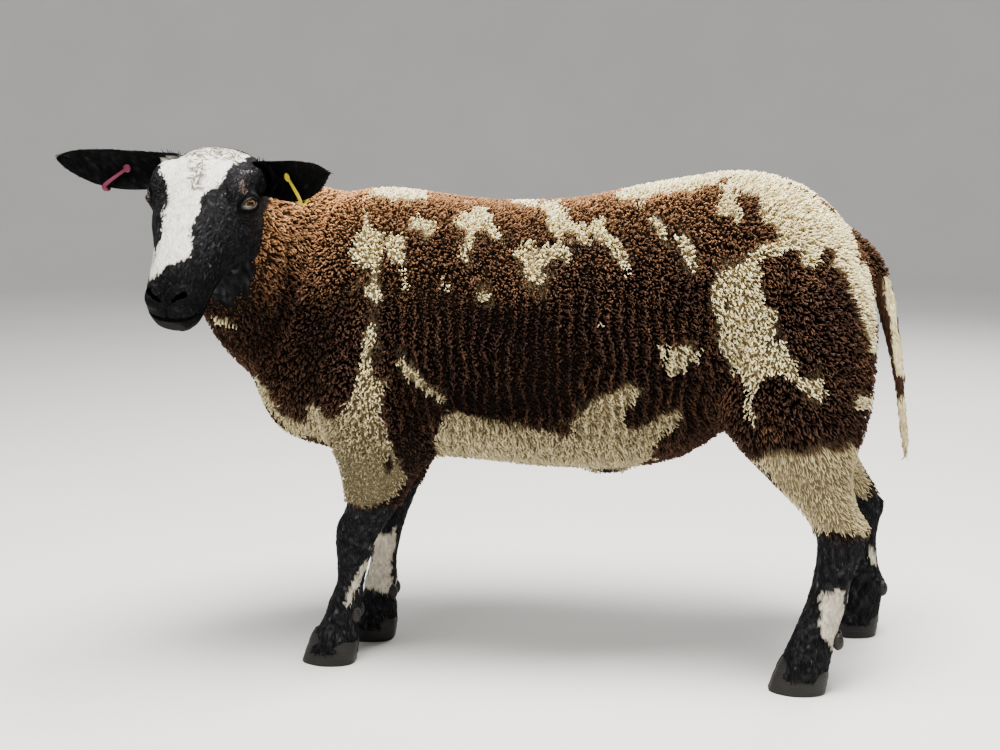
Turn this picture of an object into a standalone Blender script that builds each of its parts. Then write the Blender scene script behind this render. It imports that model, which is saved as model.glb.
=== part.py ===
"""A life-size standing sheep with a short curly fleece, its head turned to its left.

It faces -X, its left side is towards -Y and +Z is up. Every size is in metres. The trunk, neck,
legs, tail and head are lofted from a few sections each and fused, the wool is raised as rounded
clumps, and thin cuts part the whole into its nodes.
"""

import math
import random

import bmesh
import bpy
import numpy as np
from mathutils import Matrix, Vector
from mathutils.bvhtree import BVHTree

GAP = 0.0003
SHORTEST_EDGE = 0.00003
SEED = 7

# The fleece is this deep over the trunk, and the fused core reaches this share of the way out.
COAT_DEPTH = 0.026
CORE_SHARE = 0.5

# Trunk sections: place along X, back height, belly height and half width, out to the wool's tips.
TRUNK = (
    (-0.380, 0.500, 0.425, 0.036),
    (-0.364, 0.555, 0.388, 0.080),
    (-0.335, 0.615, 0.347, 0.120),
    (-0.285, 0.682, 0.327, 0.152),
    (-0.220, 0.724, 0.318, 0.180),
    (-0.140, 0.728, 0.315, 0.198),
    (-0.050, 0.716, 0.312, 0.208),
    (0.040, 0.711, 0.304, 0.214),
    (0.130, 0.717, 0.300, 0.214),
    (0.210, 0.734, 0.303, 0.206),
    (0.290, 0.748, 0.322, 0.196),
    (0.360, 0.757, 0.370, 0.190),
    (0.430, 0.746, 0.400, 0.178),
    (0.485, 0.716, 0.410, 0.158),
    (0.525, 0.672, 0.425, 0.128),
    (0.552, 0.620, 0.450, 0.085),
    (0.558, 0.570, 0.480, 0.036),
)
TRUNK_SQUARENESS = 2.3

# Neck sections: centre, turn to the left, rise, half width, reach up and reach down.
NECK = (
    (-0.175, 0.000, 0.545, 0.0, 15.0, 0.150, 0.180, 0.180),
    (-0.255, -0.012, 0.572, 20.0, 25.0, 0.124, 0.160, 0.178),
    (-0.320, -0.050, 0.606, 42.0, 25.0, 0.108, 0.140, 0.168),
    (-0.357, -0.103, 0.640, 62.0, 22.0, 0.097, 0.124, 0.146),
    (-0.372, -0.155, 0.665, 74.0, 15.0, 0.087, 0.106, 0.122),
    (-0.380, -0.190, 0.680, 76.0, 5.0, 0.064, 0.078, 0.090),
)

# The face line starts between the eyes. Its heading is turned to the left and falls to the nose.
BROW = Vector((-0.392, -0.280, 0.730))
HEAD_TURN = math.radians(76.0)
FACE_FALL = math.radians(55.0)
HEAD_ROLL = math.radians(8.0)

# Head sections: place along the face line, top, bottom and half width.
HEAD = (
    (-0.112, -0.060, -0.118, 0.040),
    (-0.096, -0.034, -0.136, 0.059),
    (-0.070, -0.012, -0.148, 0.069),
    (-0.035, 0.000, -0.153, 0.075),
    (0.000, 0.001, -0.149, 0.075),
    (0.030, -0.002, -0.137, 0.070),
    (0.060, -0.004, -0.123, 0.056),
    (0.090, -0.006, -0.111, 0.046),
    (0.118, -0.010, -0.103, 0.043),
    (0.140, -0.017, -0.099, 0.042),
    (0.160, -0.031, -0.094, 0.036),
    (0.173, -0.054, -0.084, 0.022),
)
HEAD_SQUARENESS = 2.2

# Swells of the head: place along, out of and across the face line, then the three half sizes.
HEAD_SWELLS = (
    (-0.028, -0.018, 0.055, 0.028, 0.015, 0.019),
    (-0.005, -0.100, 0.053, 0.050, 0.042, 0.021),
    (0.146, -0.033, 0.020, 0.021, 0.015, 0.015),
    (0.136, -0.068, 0.024, 0.032, 0.014, 0.018),
    (-0.062, -0.056, 0.060, 0.020, 0.022, 0.022),
)
CHIN = (0.138, -0.098, 0.0, 0.029, 0.012, 0.024)

EYE_RADIUS = 0.0145
EYE_PLACE = (-0.010, -0.037, 0.0655)
EYE_TILT = math.radians(13.0)
LID_THICKNESS = 0.0030
LID_SKIRT = (0.0270, 0.0230, 0.0135)
EYE_OPENING = (0.0140, 0.0074)
NOSTRIL_PLACE = (0.149, -0.026, 0.0180)
NOSTRIL_SIZE = (0.0160, 0.0040, 0.0110)
NOSTRIL_SLANT = math.radians(38.0)
NOSE_SLOPE = math.radians(35.0)
MOUTH_CENTRE = (0.110, -0.070)
MOUTH_TILT = math.radians(18.0)
MOUTH_SWING = math.radians(118.0)
MOUTH_DEPTH = 0.004
MOUTH_WIDTH = 0.0024

# Ears: length, greatest half height, depth of the cup, thickness, and the place of the root.
EAR_LENGTH = 0.184
EAR_HALF_HEIGHT = 0.0285
EAR_CUP = 0.016
EAR_THICKNESS = 0.0042
EAR_ROOT = (-0.064, -0.055, 0.067)
EAR_SPLIT = 0.16
EAR_SWEEP = {"left": math.radians(-37.0), "right": math.radians(2.0)}
EAR_RISE = {"left": math.radians(7.0), "right": math.radians(0.3)}

# Leg sections from the top down: height, centre along X, centre across, half length, half width.
LEGS = {
    "fore_left": (
        (0.560, -0.175, -0.110, 0.100, 0.060),
        (0.460, -0.168, -0.122, 0.105, 0.070),
        (0.380, -0.162, -0.120, 0.094, 0.066),
        (0.325, -0.164, -0.112, 0.072, 0.056),
        (0.285, -0.172, -0.105, 0.052, 0.047),
        (0.250, -0.181, -0.099, 0.040, 0.038),
        (0.222, -0.198, -0.095, 0.037, 0.034),
        (0.195, -0.207, -0.092, 0.032, 0.032),
        (0.165, -0.213, -0.090, 0.025, 0.026),
        (0.130, -0.218, -0.088, 0.021, 0.022),
        (0.100, -0.226, -0.087, 0.025, 0.027),
        (0.075, -0.233, -0.086, 0.026, 0.030),
        (0.045, -0.242, -0.085, 0.034, 0.033),
        (0.015, -0.252, -0.085, 0.038, 0.034),
    ),
    "fore_right": (
        (0.560, -0.175, 0.110, 0.100, 0.060),
        (0.460, -0.165, 0.118, 0.105, 0.070),
        (0.380, -0.155, 0.110, 0.092, 0.064),
        (0.325, -0.158, 0.094, 0.068, 0.055),
        (0.285, -0.165, 0.080, 0.050, 0.046),
        (0.250, -0.172, 0.068, 0.039, 0.037),
        (0.222, -0.180, 0.058, 0.035, 0.033),
        (0.195, -0.185, 0.052, 0.030, 0.031),
        (0.165, -0.188, 0.046, 0.025, 0.026),
        (0.130, -0.190, 0.042, 0.021, 0.022),
        (0.100, -0.193, 0.038, 0.025, 0.027),
        (0.075, -0.197, 0.036, 0.026, 0.030),
        (0.045, -0.202, 0.035, 0.034, 0.033),
        (0.015, -0.208, 0.035, 0.038, 0.034),
    ),
    "hind_left": (
        (0.650, 0.410, -0.080, 0.110, 0.080),
        (0.560, 0.425, -0.098, 0.135, 0.088),
        (0.470, 0.433, -0.112, 0.128, 0.084),
        (0.410, 0.440, -0.122, 0.115, 0.076),
        (0.360, 0.448, -0.130, 0.091, 0.066),
        (0.318, 0.466, -0.134, 0.064, 0.053),
        (0.280, 0.489, -0.137, 0.045, 0.043),
        (0.248, 0.509, -0.139, 0.037, 0.035),
        (0.210, 0.512, -0.140, 0.033, 0.029),
        (0.170, 0.502, -0.140, 0.028, 0.024),
        (0.135, 0.495, -0.140, 0.029, 0.026),
        (0.100, 0.484, -0.140, 0.030, 0.031),
        (0.060, 0.472, -0.140, 0.034, 0.034),
        (0.020, 0.461, -0.140, 0.038, 0.035),
    ),
    "hind_right": (
        (0.650, 0.410, 0.080, 0.110, 0.080),
        (0.560, 0.425, 0.098, 0.135, 0.088),
        (0.470, 0.440, 0.110, 0.126, 0.084),
        (0.410, 0.454, 0.118, 0.112, 0.076),
        (0.360, 0.474, 0.124, 0.088, 0.066),
        (0.315, 0.500, 0.128, 0.062, 0.053),
        (0.275, 0.533, 0.130, 0.044, 0.042),
        (0.240, 0.560, 0.132, 0.037, 0.035),
        (0.205, 0.573, 0.133, 0.033, 0.029),
        (0.165, 0.575, 0.134, 0.026, 0.024),
        (0.120, 0.579, 0.135, 0.026, 0.026),
        (0.092, 0.583, 0.135, 0.031, 0.030),
        (0.055, 0.578, 0.135, 0.034, 0.034),
        (0.020, 0.570, 0.135, 0.038, 0.035),
    ),
}
# The wool thins out down a leg, from full depth at the first height to none at the second.
LEG_WOOL = (0.400, 0.245)

# Rounded bumps of bone and muscle: centre and the three half sizes.
BUMPS = (
    ((0.533, -0.139, 0.243), (0.018, 0.014, 0.022)),
    ((0.594, 0.133, 0.214), (0.018, 0.014, 0.022)),
    ((-0.108, -0.118, 0.352), (0.030, 0.030, 0.034)),
    ((-0.100, 0.108, 0.350), (0.030, 0.030, 0.034)),
    ((0.170, 0.000, 0.306), (0.040, 0.018, 0.018)),
)

# Tail sections: height, centre along X, half length and half width.
TAIL = (
    (0.668, 0.505, 0.030, 0.030),
    (0.640, 0.540, 0.028, 0.030),
    (0.605, 0.566, 0.024, 0.027),
    (0.565, 0.580, 0.022, 0.023),
    (0.520, 0.591, 0.019, 0.019),
    (0.470, 0.602, 0.015, 0.015),
    (0.420, 0.609, 0.011, 0.012),
    (0.370, 0.616, 0.010, 0.010),
    (0.335, 0.620, 0.008, 0.008),
    (0.323, 0.621, 0.004, 0.004),
)
TAIL_WOOL = 0.008

# Feet: the coronet's middle, the sole's toe and heel, the middle across and the leg it ends.
CORONET_HEIGHT = 0.043
CORONET_SLOPE = math.radians(14.0)
CLAW_WIDTH = 0.0300
CLEFT = 0.0050
SOLE_LENGTH = 0.084
CORONET_LENGTH = 0.070
TOE_REACH = 0.012
CLAW_SIDES = 10
DEWCLAW_HEIGHT = 0.086

# The cut that parts the neck from the trunk, the head from the neck and the tail from the rump:
# a point of the plane and the direction it faces.
NECK_CUT = (Vector((-0.278, 0.0, 0.590)), Vector((-0.913, 0.0, 0.408)))
HEAD_CUT = (Vector((-0.370, -0.156, 0.690)), Vector((-0.235, -0.955, 0.180)))
TAIL_CUT = (Vector((0.5715, 0.0, 0.490)), Vector((1.0, 0.0, 0.03)).normalized())
FORELEG_CUT = (Vector((-0.170, 0.0, 0.309)), Vector((0.0, 0.0, -1.0)))
HINDLEG_CUT = (Vector((0.450, 0.0, 0.401)), Vector((0.424, 0.0, -0.906)))
# Each leg is parted again where its wool ends, at this height.
LEG_SPLIT = {"fore_left": 0.250, "fore_right": 0.250, "hind_left": 0.266, "hind_right": 0.262}
# The forelegs are parted a little to the left of the middle, since they stand to that side.
FORELEG_MIDDLE = -0.015

# Clumps of wool: how far apart they sit, their radius against that, their sides and root depth.
CLUMP_SPACING = {"trunk": 0.092, "neck": 0.078, "leg": 0.062}
CLUMP_SPREAD = 0.80
CLUMP_SIDES = 6
WOOL_SAMPLES = 9000
EVENING_ROUNDS = 8
CLUMP_ROOT = {"trunk": 0.012, "neck": 0.012, "leg": 0.010}
# The clumps of the tail sit round it in a spiral between these heights.
TAIL_CLUMPS = 8
TAIL_CLUMP_HEIGHTS = (0.640, 0.470)
TAIL_ROOT = Vector((0.540, 0.0, 0.640))
TAIL_ROOT_CLEAR = 0.050

# An ear tag is a slim strip, this wide and thick.
TAG_WIDTH = 0.0085
TAG_THICKNESS = 0.0020
TAG_CLEARANCE = 0.0032

BODY_VOXEL = 0.008
BODY_TRIANGLES = 1900
HEAD_VOXEL = 0.004
HEAD_TRIANGLES = 900

CREAM = (0.62, 0.50, 0.34, 1.0)
BROWN = (0.060, 0.030, 0.016, 1.0)
BLACK = (0.018, 0.017, 0.018, 1.0)
HORN = (0.050, 0.040, 0.032, 1.0)
AMBER = (0.36, 0.18, 0.05, 1.0)
YELLOW = (0.75, 0.55, 0.04, 1.0)
RED = (0.42, 0.03, 0.10, 1.0)


def remove_everything():
    for thing in list(bpy.data.objects):
        bpy.data.objects.remove(thing, do_unlink=True)


def unit(vector):
    return Vector(vector).normalized()


def make_object(name, mesh_source):
    if mesh_source.calc_volume(signed=True) < 0:
        bmesh.ops.reverse_faces(mesh_source, faces=mesh_source.faces)
    mesh = bpy.data.meshes.new(name)
    mesh_source.to_mesh(mesh)
    mesh_source.free()
    thing = bpy.data.objects.new(name, mesh)
    bpy.context.scene.collection.objects.link(thing)
    return thing


def drop(thing):
    mesh = thing.data
    bpy.data.objects.remove(thing, do_unlink=True)
    bpy.data.meshes.remove(mesh)


def bake_modifiers(thing):
    bpy.context.view_layer.update()
    graph = bpy.context.evaluated_depsgraph_get()
    mesh = bpy.data.meshes.new_from_object(thing.evaluated_get(graph))
    old = thing.data
    thing.modifiers.clear()
    thing.data = mesh
    bpy.data.meshes.remove(old)


def boolean(thing, other, operation):
    """Fuse, cut or intersect one closed mesh with another and drop the other."""
    step = thing.modifiers.new(operation.lower(), "BOOLEAN")
    step.operation = operation
    step.solver = "MANIFOLD"
    step.object = other
    bake_modifiers(thing)
    drop(other)


def union_all(thing, others):
    """Fuse one closed mesh with many others in a single union and drop the others."""
    group = bpy.data.collections.new("fused")
    bpy.context.scene.collection.children.link(group)
    for other in others:
        group.objects.link(other)
    step = thing.modifiers.new("union", "BOOLEAN")
    step.operation = "UNION"
    step.solver = "MANIFOLD"
    step.operand_type = "COLLECTION"
    step.collection = group
    bake_modifiers(thing)
    for other in others:
        drop(other)
    bpy.data.collections.remove(group)


def copy_of(thing, name):
    twin = thing.copy()
    twin.data = thing.data.copy()
    twin.name = name
    bpy.context.scene.collection.objects.link(twin)
    return twin


def keep_largest(thing):
    """Keep the closed surface that spans the most volume, without its needle-thin edges."""
    shape = bmesh.new()
    shape.from_mesh(thing.data)
    bmesh.ops.dissolve_degenerate(shape, dist=SHORTEST_EDGE, edges=shape.edges)
    bmesh.ops.triangulate(shape, faces=shape.faces)
    unseen = set(shape.faces)
    shells = []
    while unseen:
        start = unseen.pop()
        shell = [start]
        front = [start]
        while front:
            for edge in front.pop().edges:
                for face in edge.link_faces:
                    if face in unseen:
                        unseen.remove(face)
                        shell.append(face)
                        front.append(face)
        shells.append(shell)

    def volume(shell):
        total = 0.0
        for face in shell:
            a, b, c = (corner.co for corner in face.verts)
            total += a.dot(b.cross(c)) / 6.0
        return abs(total)

    shells.sort(key=volume, reverse=True)
    for shell in shells[1:]:
        bmesh.ops.delete(shape, geom=shell, context="FACES")
    shape.to_mesh(thing.data)
    shape.free()


def curve_rows(rows, steps):
    """Add rows between the given ones along a smooth curve through them."""
    table = np.array(rows, float)
    padded = np.vstack([2 * table[0] - table[1], table, 2 * table[-1] - table[-2]])
    smooth = []
    for index in range(1, len(table)):
        a, b, c, d = padded[index - 1:index + 3]
        for step in range(steps):
            t = step / steps
            smooth.append(0.5 * (2 * b + (c - a) * t + (2 * a - 5 * b + 4 * c - d) * t * t
                                 + (3 * b - a - 3 * c + d) * t ** 3))
    smooth.append(table[-1])
    return smooth


def oval(centre, side, up, half_width, rise, fall, squareness=2.0, count=24):
    """A ring of points round a centre, wide along side, with its own reach up and down."""
    points = []
    for index in range(count):
        angle = 2 * math.pi * index / count
        across = math.cos(angle)
        along = math.sin(angle)
        across = math.copysign(abs(across) ** (2 / squareness), across)
        along = math.copysign(abs(along) ** (2 / squareness), along)
        reach = rise if along > 0 else fall
        points.append(Vector(centre) + side * half_width * across + up * reach * along)
    return points


def loft(name, rings):
    """Skin rings of points of one count, and close both ends."""
    shape = bmesh.new()
    loops = [[shape.verts.new(point) for point in ring] for ring in rings]
    count = len(loops[0])
    for first, second in zip(loops, loops[1:]):
        for index in range(count):
            after = (index + 1) % count
            shape.faces.new((first[index], first[after], second[after], second[index]))
    shape.faces.new(loops[0][::-1])
    shape.faces.new(loops[-1])
    bmesh.ops.recalc_face_normals(shape, faces=shape.faces)
    return make_object(name, shape)


def ball(name, centre, sizes, turn=None, detail=2):
    """An ellipsoid with its own half sizes, turned by a rotation matrix."""
    shape = bmesh.new()
    bmesh.ops.create_icosphere(shape, subdivisions=detail, radius=1.0)
    shape.transform(Matrix.Diagonal(Vector(sizes)).to_4x4())
    if turn is not None:
        shape.transform(turn.to_4x4())
    shape.transform(Matrix.Translation(Vector(centre)))
    return make_object(name, shape)


def block(name, centre, axes, halves):
    """A box with its own axes and half sizes."""
    shape = bmesh.new()
    bmesh.ops.create_cube(shape, size=2.0)
    frame = Matrix((axes[0], axes[1], axes[2])).transposed()
    shape.transform(Matrix.Diagonal(Vector(halves)).to_4x4())
    shape.transform(frame.to_4x4())
    shape.transform(Matrix.Translation(Vector(centre)))
    bmesh.ops.recalc_face_normals(shape, faces=shape.faces)
    return make_object(name, shape)


def join(name, things):
    shape = bmesh.new()
    for thing in things:
        shape.from_mesh(thing.data)
        drop(thing)
    return make_object(name, shape)


def melt(thing, voxel, smoothing, target):
    """Fuse overlapping closed forms into one soft skin with about the target triangles."""
    fuse = thing.modifiers.new("fuse", "REMESH")
    fuse.mode = "VOXEL"
    fuse.voxel_size = voxel
    soften = thing.modifiers.new("soften", "SMOOTH")
    soften.factor = 0.5
    soften.iterations = smoothing
    bake_modifiers(thing)
    thin = thing.modifiers.new("thin", "DECIMATE")
    thin.ratio = target / (2.0 * len(thing.data.polygons))
    thin.use_collapse_triangulate = True
    bake_modifiers(thing)


def trunk_form(inset):
    rings = []
    for x, top, bottom, half_width in curve_rows(TRUNK, 3):
        depth = min(inset, 0.45 * half_width)
        middle = 0.5 * (top + bottom)
        reach = 0.5 * (top - bottom) - depth
        rings.append(oval((x, 0, middle), Vector((0, 1, 0)), Vector((0, 0, 1)),
                          half_width - depth, reach, reach, TRUNK_SQUARENESS))
    ends = (rings[0], rings[-1])
    for ring, push in zip(ends, (inset, -inset)):
        for point in ring:
            point.x += push
    return loft("trunk", rings)


def neck_form(inset):
    rings = []
    for x, y, z, turn, rise, half_width, reach_up, reach_down in curve_rows(NECK, 3):
        turn = math.radians(turn)
        rise = math.radians(rise)
        side = Vector((-math.sin(turn), math.cos(turn), 0))
        up = Vector((math.sin(rise) * math.cos(turn), math.sin(rise) * math.sin(turn),
                     math.cos(rise)))
        rings.append(oval((x, y, z), side, up, half_width - inset, reach_up - inset,
                          reach_down - inset))
    return loft("neck", rings)


def leg_wool(height):
    """The share of the coat's depth at a height on a leg, from none to full."""
    share = (height - LEG_WOOL[1]) / (LEG_WOOL[0] - LEG_WOOL[1])
    return min(1.0, max(0.0, share))


def leg_form(name, inset):
    rings = []
    for z, x, y, half_length, half_width in curve_rows(LEGS[name], 3):
        depth = inset * leg_wool(z)
        rings.append(oval((x, y, z), Vector((0, 1, 0)), Vector((1, 0, 0)),
                          half_width - depth, half_length - depth, half_length - depth, 2.1, 16))
    return loft(name, rings)


def tail_form(share):
    rings = []
    for z, x, half_length, half_width in curve_rows(TAIL, 2):
        depth = min(TAIL_WOOL, 0.4 * half_width) * (1 - share)
        reach = half_length - depth
        rings.append(oval((x, 0, z), Vector((0, 1, 0)), Vector((1, 0, 0)),
                          half_width - depth, reach, reach, 2.0, 12))
    return loft("tail_form", rings)


def head_axes():
    """The directions down the face, out of the face and to the animal's left."""
    heading = Vector((-math.cos(HEAD_TURN), -math.sin(HEAD_TURN), 0))
    left = Vector((-heading.y, heading.x, 0))
    up = Vector((0, 0, 1))
    down_face = heading * math.cos(FACE_FALL) - up * math.sin(FACE_FALL)
    out = heading * math.sin(FACE_FALL) + up * math.cos(FACE_FALL)
    tilted_left = left * math.cos(HEAD_ROLL) - out * math.sin(HEAD_ROLL)
    tilted_out = out * math.cos(HEAD_ROLL) + left * math.sin(HEAD_ROLL)
    return down_face, tilted_out, tilted_left


FACE, OUT, LEFT = head_axes()
HEAD_FRAME = Matrix((FACE, OUT, LEFT)).transposed()


def on_head(along, out, across):
    return BROW + FACE * along + OUT * out + LEFT * across


def gaze_axes(side):
    """The directions along the slit of an eye, across it and out of it."""
    level = unit((FACE.x, FACE.y, 0))
    up = Vector((0, 0, 1))
    gaze = unit(LEFT * side * 0.85 + level * 0.50 + up * 0.12)
    slit_way = level * math.cos(EYE_TILT) - up * math.sin(EYE_TILT)
    long_way = unit(slit_way - gaze * slit_way.dot(gaze))
    return long_way, gaze.cross(long_way), gaze


def head_form():
    rings = []
    for along, top, bottom, half_width in curve_rows(HEAD, 3):
        middle = 0.5 * (top + bottom)
        reach = 0.5 * (top - bottom)
        rings.append(oval(on_head(along, middle, 0), LEFT, OUT, half_width, reach, reach,
                          HEAD_SQUARENESS))
    pieces = [loft("head_form", rings)]
    for along, out, across, *sizes in HEAD_SWELLS:
        for side in (1, -1):
            pieces.append(ball("swell", on_head(along, out, side * across), sizes, HEAD_FRAME))
    for side in (1, -1):
        along, out, across = EYE_PLACE
        turn = Matrix(gaze_axes(side)).transposed()
        pieces.append(ball("skirt", on_head(along, out, side * across), LID_SKIRT, turn))
    pieces.append(ball("chin", on_head(*CHIN[:3]), CHIN[3:], HEAD_FRAME))
    return join("head_form", pieces)


def ear_axes(name):
    """The directions along an ear, up across it and out of its cup."""
    side = 1 if name == "left" else -1
    heading = unit((FACE.x, FACE.y, 0))
    sweep = EAR_SWEEP[name]
    rise = EAR_RISE[name]
    level = LEFT * side * math.cos(sweep) - heading * math.sin(sweep)
    along = unit(level * math.cos(rise) + Vector((0, 0, 1)) * math.sin(rise))
    cup = unit(heading - along * heading.dot(along) + Vector((0, 0, -0.15)))
    up = unit(along.cross(cup)) * side
    if up.z < 0:
        up = -up
    return along, up, unit(cup - up * cup.dot(up))


def ear_point(name, along_share, across_share, back):
    """A point of an ear's front face, or of its back face where back is 1."""
    along, up, cup = ear_axes(name)
    side = 1 if name == "left" else -1
    root = on_head(EAR_ROOT[0], EAR_ROOT[1], side * EAR_ROOT[2])
    u = along_share
    swell = math.sin(math.pi * min(1.0, max(0.0, 0.30 + 0.70 * u))) ** 0.62
    half_height = EAR_HALF_HEIGHT * max(0.06, swell)
    curl = EAR_CUP * (1.0 - 0.85 * max(0.0, u)) * (1 - across_share ** 2)
    lower = 0.007 * math.sin(math.pi * max(0.0, u))
    point = root + along * EAR_LENGTH * u + up * (half_height * across_share - lower) - cup * curl
    thickness = EAR_THICKNESS * (1 - 0.45 * abs(across_share)) * (1 - 0.35 * max(0.0, u))
    return point - cup * thickness * back


def ear_form(name):
    """A leaf-shaped cup of even thickness whose root lies inside the head."""
    shape = bmesh.new()
    lengths = (-0.10, 0.05, 0.20, 0.38, 0.56, 0.74, 0.90, 1.0)
    heights = (-1.0, -0.5, 0.0, 0.5, 1.0)
    grids = []
    for back in (0, 1):
        grid = []
        for u in lengths:
            grid.append([shape.verts.new(ear_point(name, u, v, back)) for v in heights])
        grids.append(grid)
    front, rear = grids
    rows = len(lengths)
    columns = len(heights)

    def quad(a, b, c, d):
        shape.faces.new((a, b, c))
        shape.faces.new((a, c, d))

    for i in range(rows - 1):
        for j in range(columns - 1):
            quad(front[i][j], front[i + 1][j], front[i + 1][j + 1], front[i][j + 1])
            shape.faces.new((rear[i][j], rear[i + 1][j + 1], rear[i + 1][j]))
            shape.faces.new((rear[i][j], rear[i][j + 1], rear[i + 1][j + 1]))
    for i in range(rows - 1):
        quad(front[i][0], rear[i][0], rear[i + 1][0], front[i + 1][0])
        quad(front[i][-1], front[i + 1][-1], rear[i + 1][-1], rear[i][-1])
    for j in range(columns - 1):
        quad(front[0][j], front[0][j + 1], rear[0][j + 1], rear[0][j])
        quad(front[-1][j], rear[-1][j], rear[-1][j + 1], front[-1][j + 1])
    bmesh.ops.recalc_face_normals(shape, faces=shape.faces)
    return make_object("ear_form_" + name, shape)


def cut_eyes(head):
    """Raise a lid over each eye, then hollow its socket and open the slit between the lids."""
    for side in (1, -1):
        along, out, across = EYE_PLACE
        centre = on_head(along, out, side * across)
        boolean(head, ball("lid", centre, [EYE_RADIUS + LID_THICKNESS] * 3), "UNION")
        boolean(head, ball("socket", centre, [EYE_RADIUS + GAP] * 3), "DIFFERENCE")
        long_way, short_way, gaze = gaze_axes(side)
        turn = Matrix((long_way, short_way, gaze)).transposed()
        slit = ball("slit", centre + gaze * EYE_RADIUS,
                    (EYE_OPENING[0], EYE_OPENING[1], EYE_RADIUS * 0.9), turn)
        boolean(head, slit, "DIFFERENCE")


def cut_nostrils(head):
    """Hollow two slanted nostrils that lean together towards the lip."""
    outward = OUT * math.cos(NOSE_SLOPE) + FACE * math.sin(NOSE_SLOPE)
    up_nose = OUT * math.sin(NOSE_SLOPE) - FACE * math.cos(NOSE_SLOPE)
    for side in (1, -1):
        along, out, across = NOSTRIL_PLACE
        slant = LEFT * side * math.cos(NOSTRIL_SLANT) + up_nose * math.sin(NOSTRIL_SLANT)
        turn = Matrix((slant, outward.cross(slant), outward)).transposed()
        centre = on_head(along, out, side * across)
        boolean(head, ball("nostril", centre, NOSTRIL_SIZE, turn), "DIFFERENCE")


def cut_mouth(head):
    """Cut the line of the mouth round the muzzle as a shallow wedge that follows its surface."""
    tree = BVHTree.FromObject(head, bpy.context.evaluated_depsgraph_get())
    centre = on_head(MOUTH_CENTRE[0], MOUTH_CENTRE[1], 0)
    forward = FACE * math.cos(MOUTH_TILT) + OUT * math.sin(MOUTH_TILT)
    upward = OUT * math.cos(MOUTH_TILT) - FACE * math.sin(MOUTH_TILT)
    rings = []
    steps = 18
    for index in range(steps + 1):
        swing = MOUTH_SWING * (2 * index / steps - 1)
        way = forward * math.cos(swing) + LEFT * math.sin(swing)
        hit = tree.ray_cast(centre + way * 0.12, -way)
        surface = hit[0]
        fade = max(0.25, math.cos(0.5 * math.pi * abs(swing) / MOUTH_SWING) ** 0.5)
        inner = surface - way * MOUTH_DEPTH * fade
        outer = surface + way * 0.006
        lift = upward * MOUTH_WIDTH
        rings.append([inner + lift * 0.15, outer + lift, outer - lift, inner - lift * 0.15])
    boolean(head, loft("mouth", rings), "DIFFERENCE")


def foot_axis(name):
    """Where the coronet of a foot has its middle, read from the leg's own sections."""
    rows = LEGS[name]
    upper = rows[-2]
    lower = rows[-1]
    t = (upper[0] - CORONET_HEIGHT) / (upper[0] - lower[0])
    x = upper[1] + (lower[1] - upper[1]) * t
    y = upper[2] + (lower[2] - upper[2]) * t
    return x, y


def coronet_level(x, middle):
    """The height of the slanted coronet, which is higher in front."""
    return CORONET_HEIGHT + math.tan(CORONET_SLOPE) * (middle - x)


def claw_form(name, foot, side):
    """One claw of a cloven foot, flat below and on its inner face, pointed at the toe."""
    middle, across = foot_axis(foot)
    levels = (0.0, 0.06, 0.45, 1.0)
    rings = []
    for level in levels:
        length = SOLE_LENGTH + (CORONET_LENGTH - SOLE_LENGTH) * level
        inset = 0.0015 if level == 0.0 else 0.0
        centre = middle - TOE_REACH * (1 - level)
        ring = []
        for index in range(CLAW_SIDES):
            angle = math.pi * index / (CLAW_SIDES - 1)
            forward = math.cos(angle)
            taper = 1.0 - 0.30 * max(0.0, forward) ** 2
            x = centre - forward * (0.5 * length - inset)
            bulge = (CLAW_WIDTH - inset) * math.sin(angle) ** 0.75 * taper
            y = across + side * (0.5 * CLEFT + max(0.0008, bulge))
            if index in (0, CLAW_SIDES - 1):
                y = across + side * 0.5 * CLEFT
            z = level * (coronet_level(x, middle) - GAP / math.cos(CORONET_SLOPE))
            ring.append(Vector((x, y, z)))
        rings.append(ring)
    return loft(name, rings)


def trim_foot(leg, foot):
    """Cut a leg off at its slanted coronet, cleave it between the claws and add dewclaws."""
    middle, across = foot_axis(foot)
    dewclaws = []
    rows = LEGS[foot]
    for side in (1, -1):
        row = min(rows, key=lambda item: abs(item[0] - DEWCLAW_HEIGHT))
        centre = (row[1] + row[3] - 0.002, row[2] + side * 0.014, DEWCLAW_HEIGHT - 0.006)
        dewclaws.append(ball("dewclaw", centre, (0.009, 0.008, 0.013), detail=1))
    union_all(leg, dewclaws)
    slope = math.tan(CORONET_SLOPE)
    normal = unit((slope, 0, 1))
    forward = unit((1, 0, -slope))
    low = Vector((middle, across, CORONET_HEIGHT))
    boolean(leg, block("below", low - normal * 0.1, (forward, Vector((0, 1, 0)), normal),
                       (0.15, 0.06, 0.1)), "DIFFERENCE")
    cleft = block("cleft", (middle - 0.034, across, CORONET_HEIGHT),
                  (Vector((1, 0, 0)), Vector((0, 1, 0)), Vector((0, 0, 1))),
                  (0.020, 0.5 * CLEFT, 0.026))
    boolean(leg, cleft, "DIFFERENCE")


def side_of(cut, reach, halves=(0.3, 0.3)):
    """A large box that fills the side a cut faces, with its near face on the plane."""
    point, facing = cut
    facing = unit(facing)
    across = Vector((0, 1, 0)) if abs(facing.y) < 0.9 else Vector((1, 0, 0))
    across = unit(across - facing * across.dot(facing))
    third = facing.cross(across)
    return point + facing * reach, (facing, across, third), (reach, halves[0], halves[1])


def part_off(whole, name, box):
    """Take the part of the whole inside a box as its own piece, and leave a thin gap."""
    centre, axes, halves = box
    piece = copy_of(whole, name)
    boolean(piece, block("cell", centre, axes, halves), "INTERSECT")
    grown = [half + GAP for half in halves]
    boolean(whole, block("cell", centre, axes, grown), "DIFFERENCE")
    keep_largest(piece)
    return piece


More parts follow.
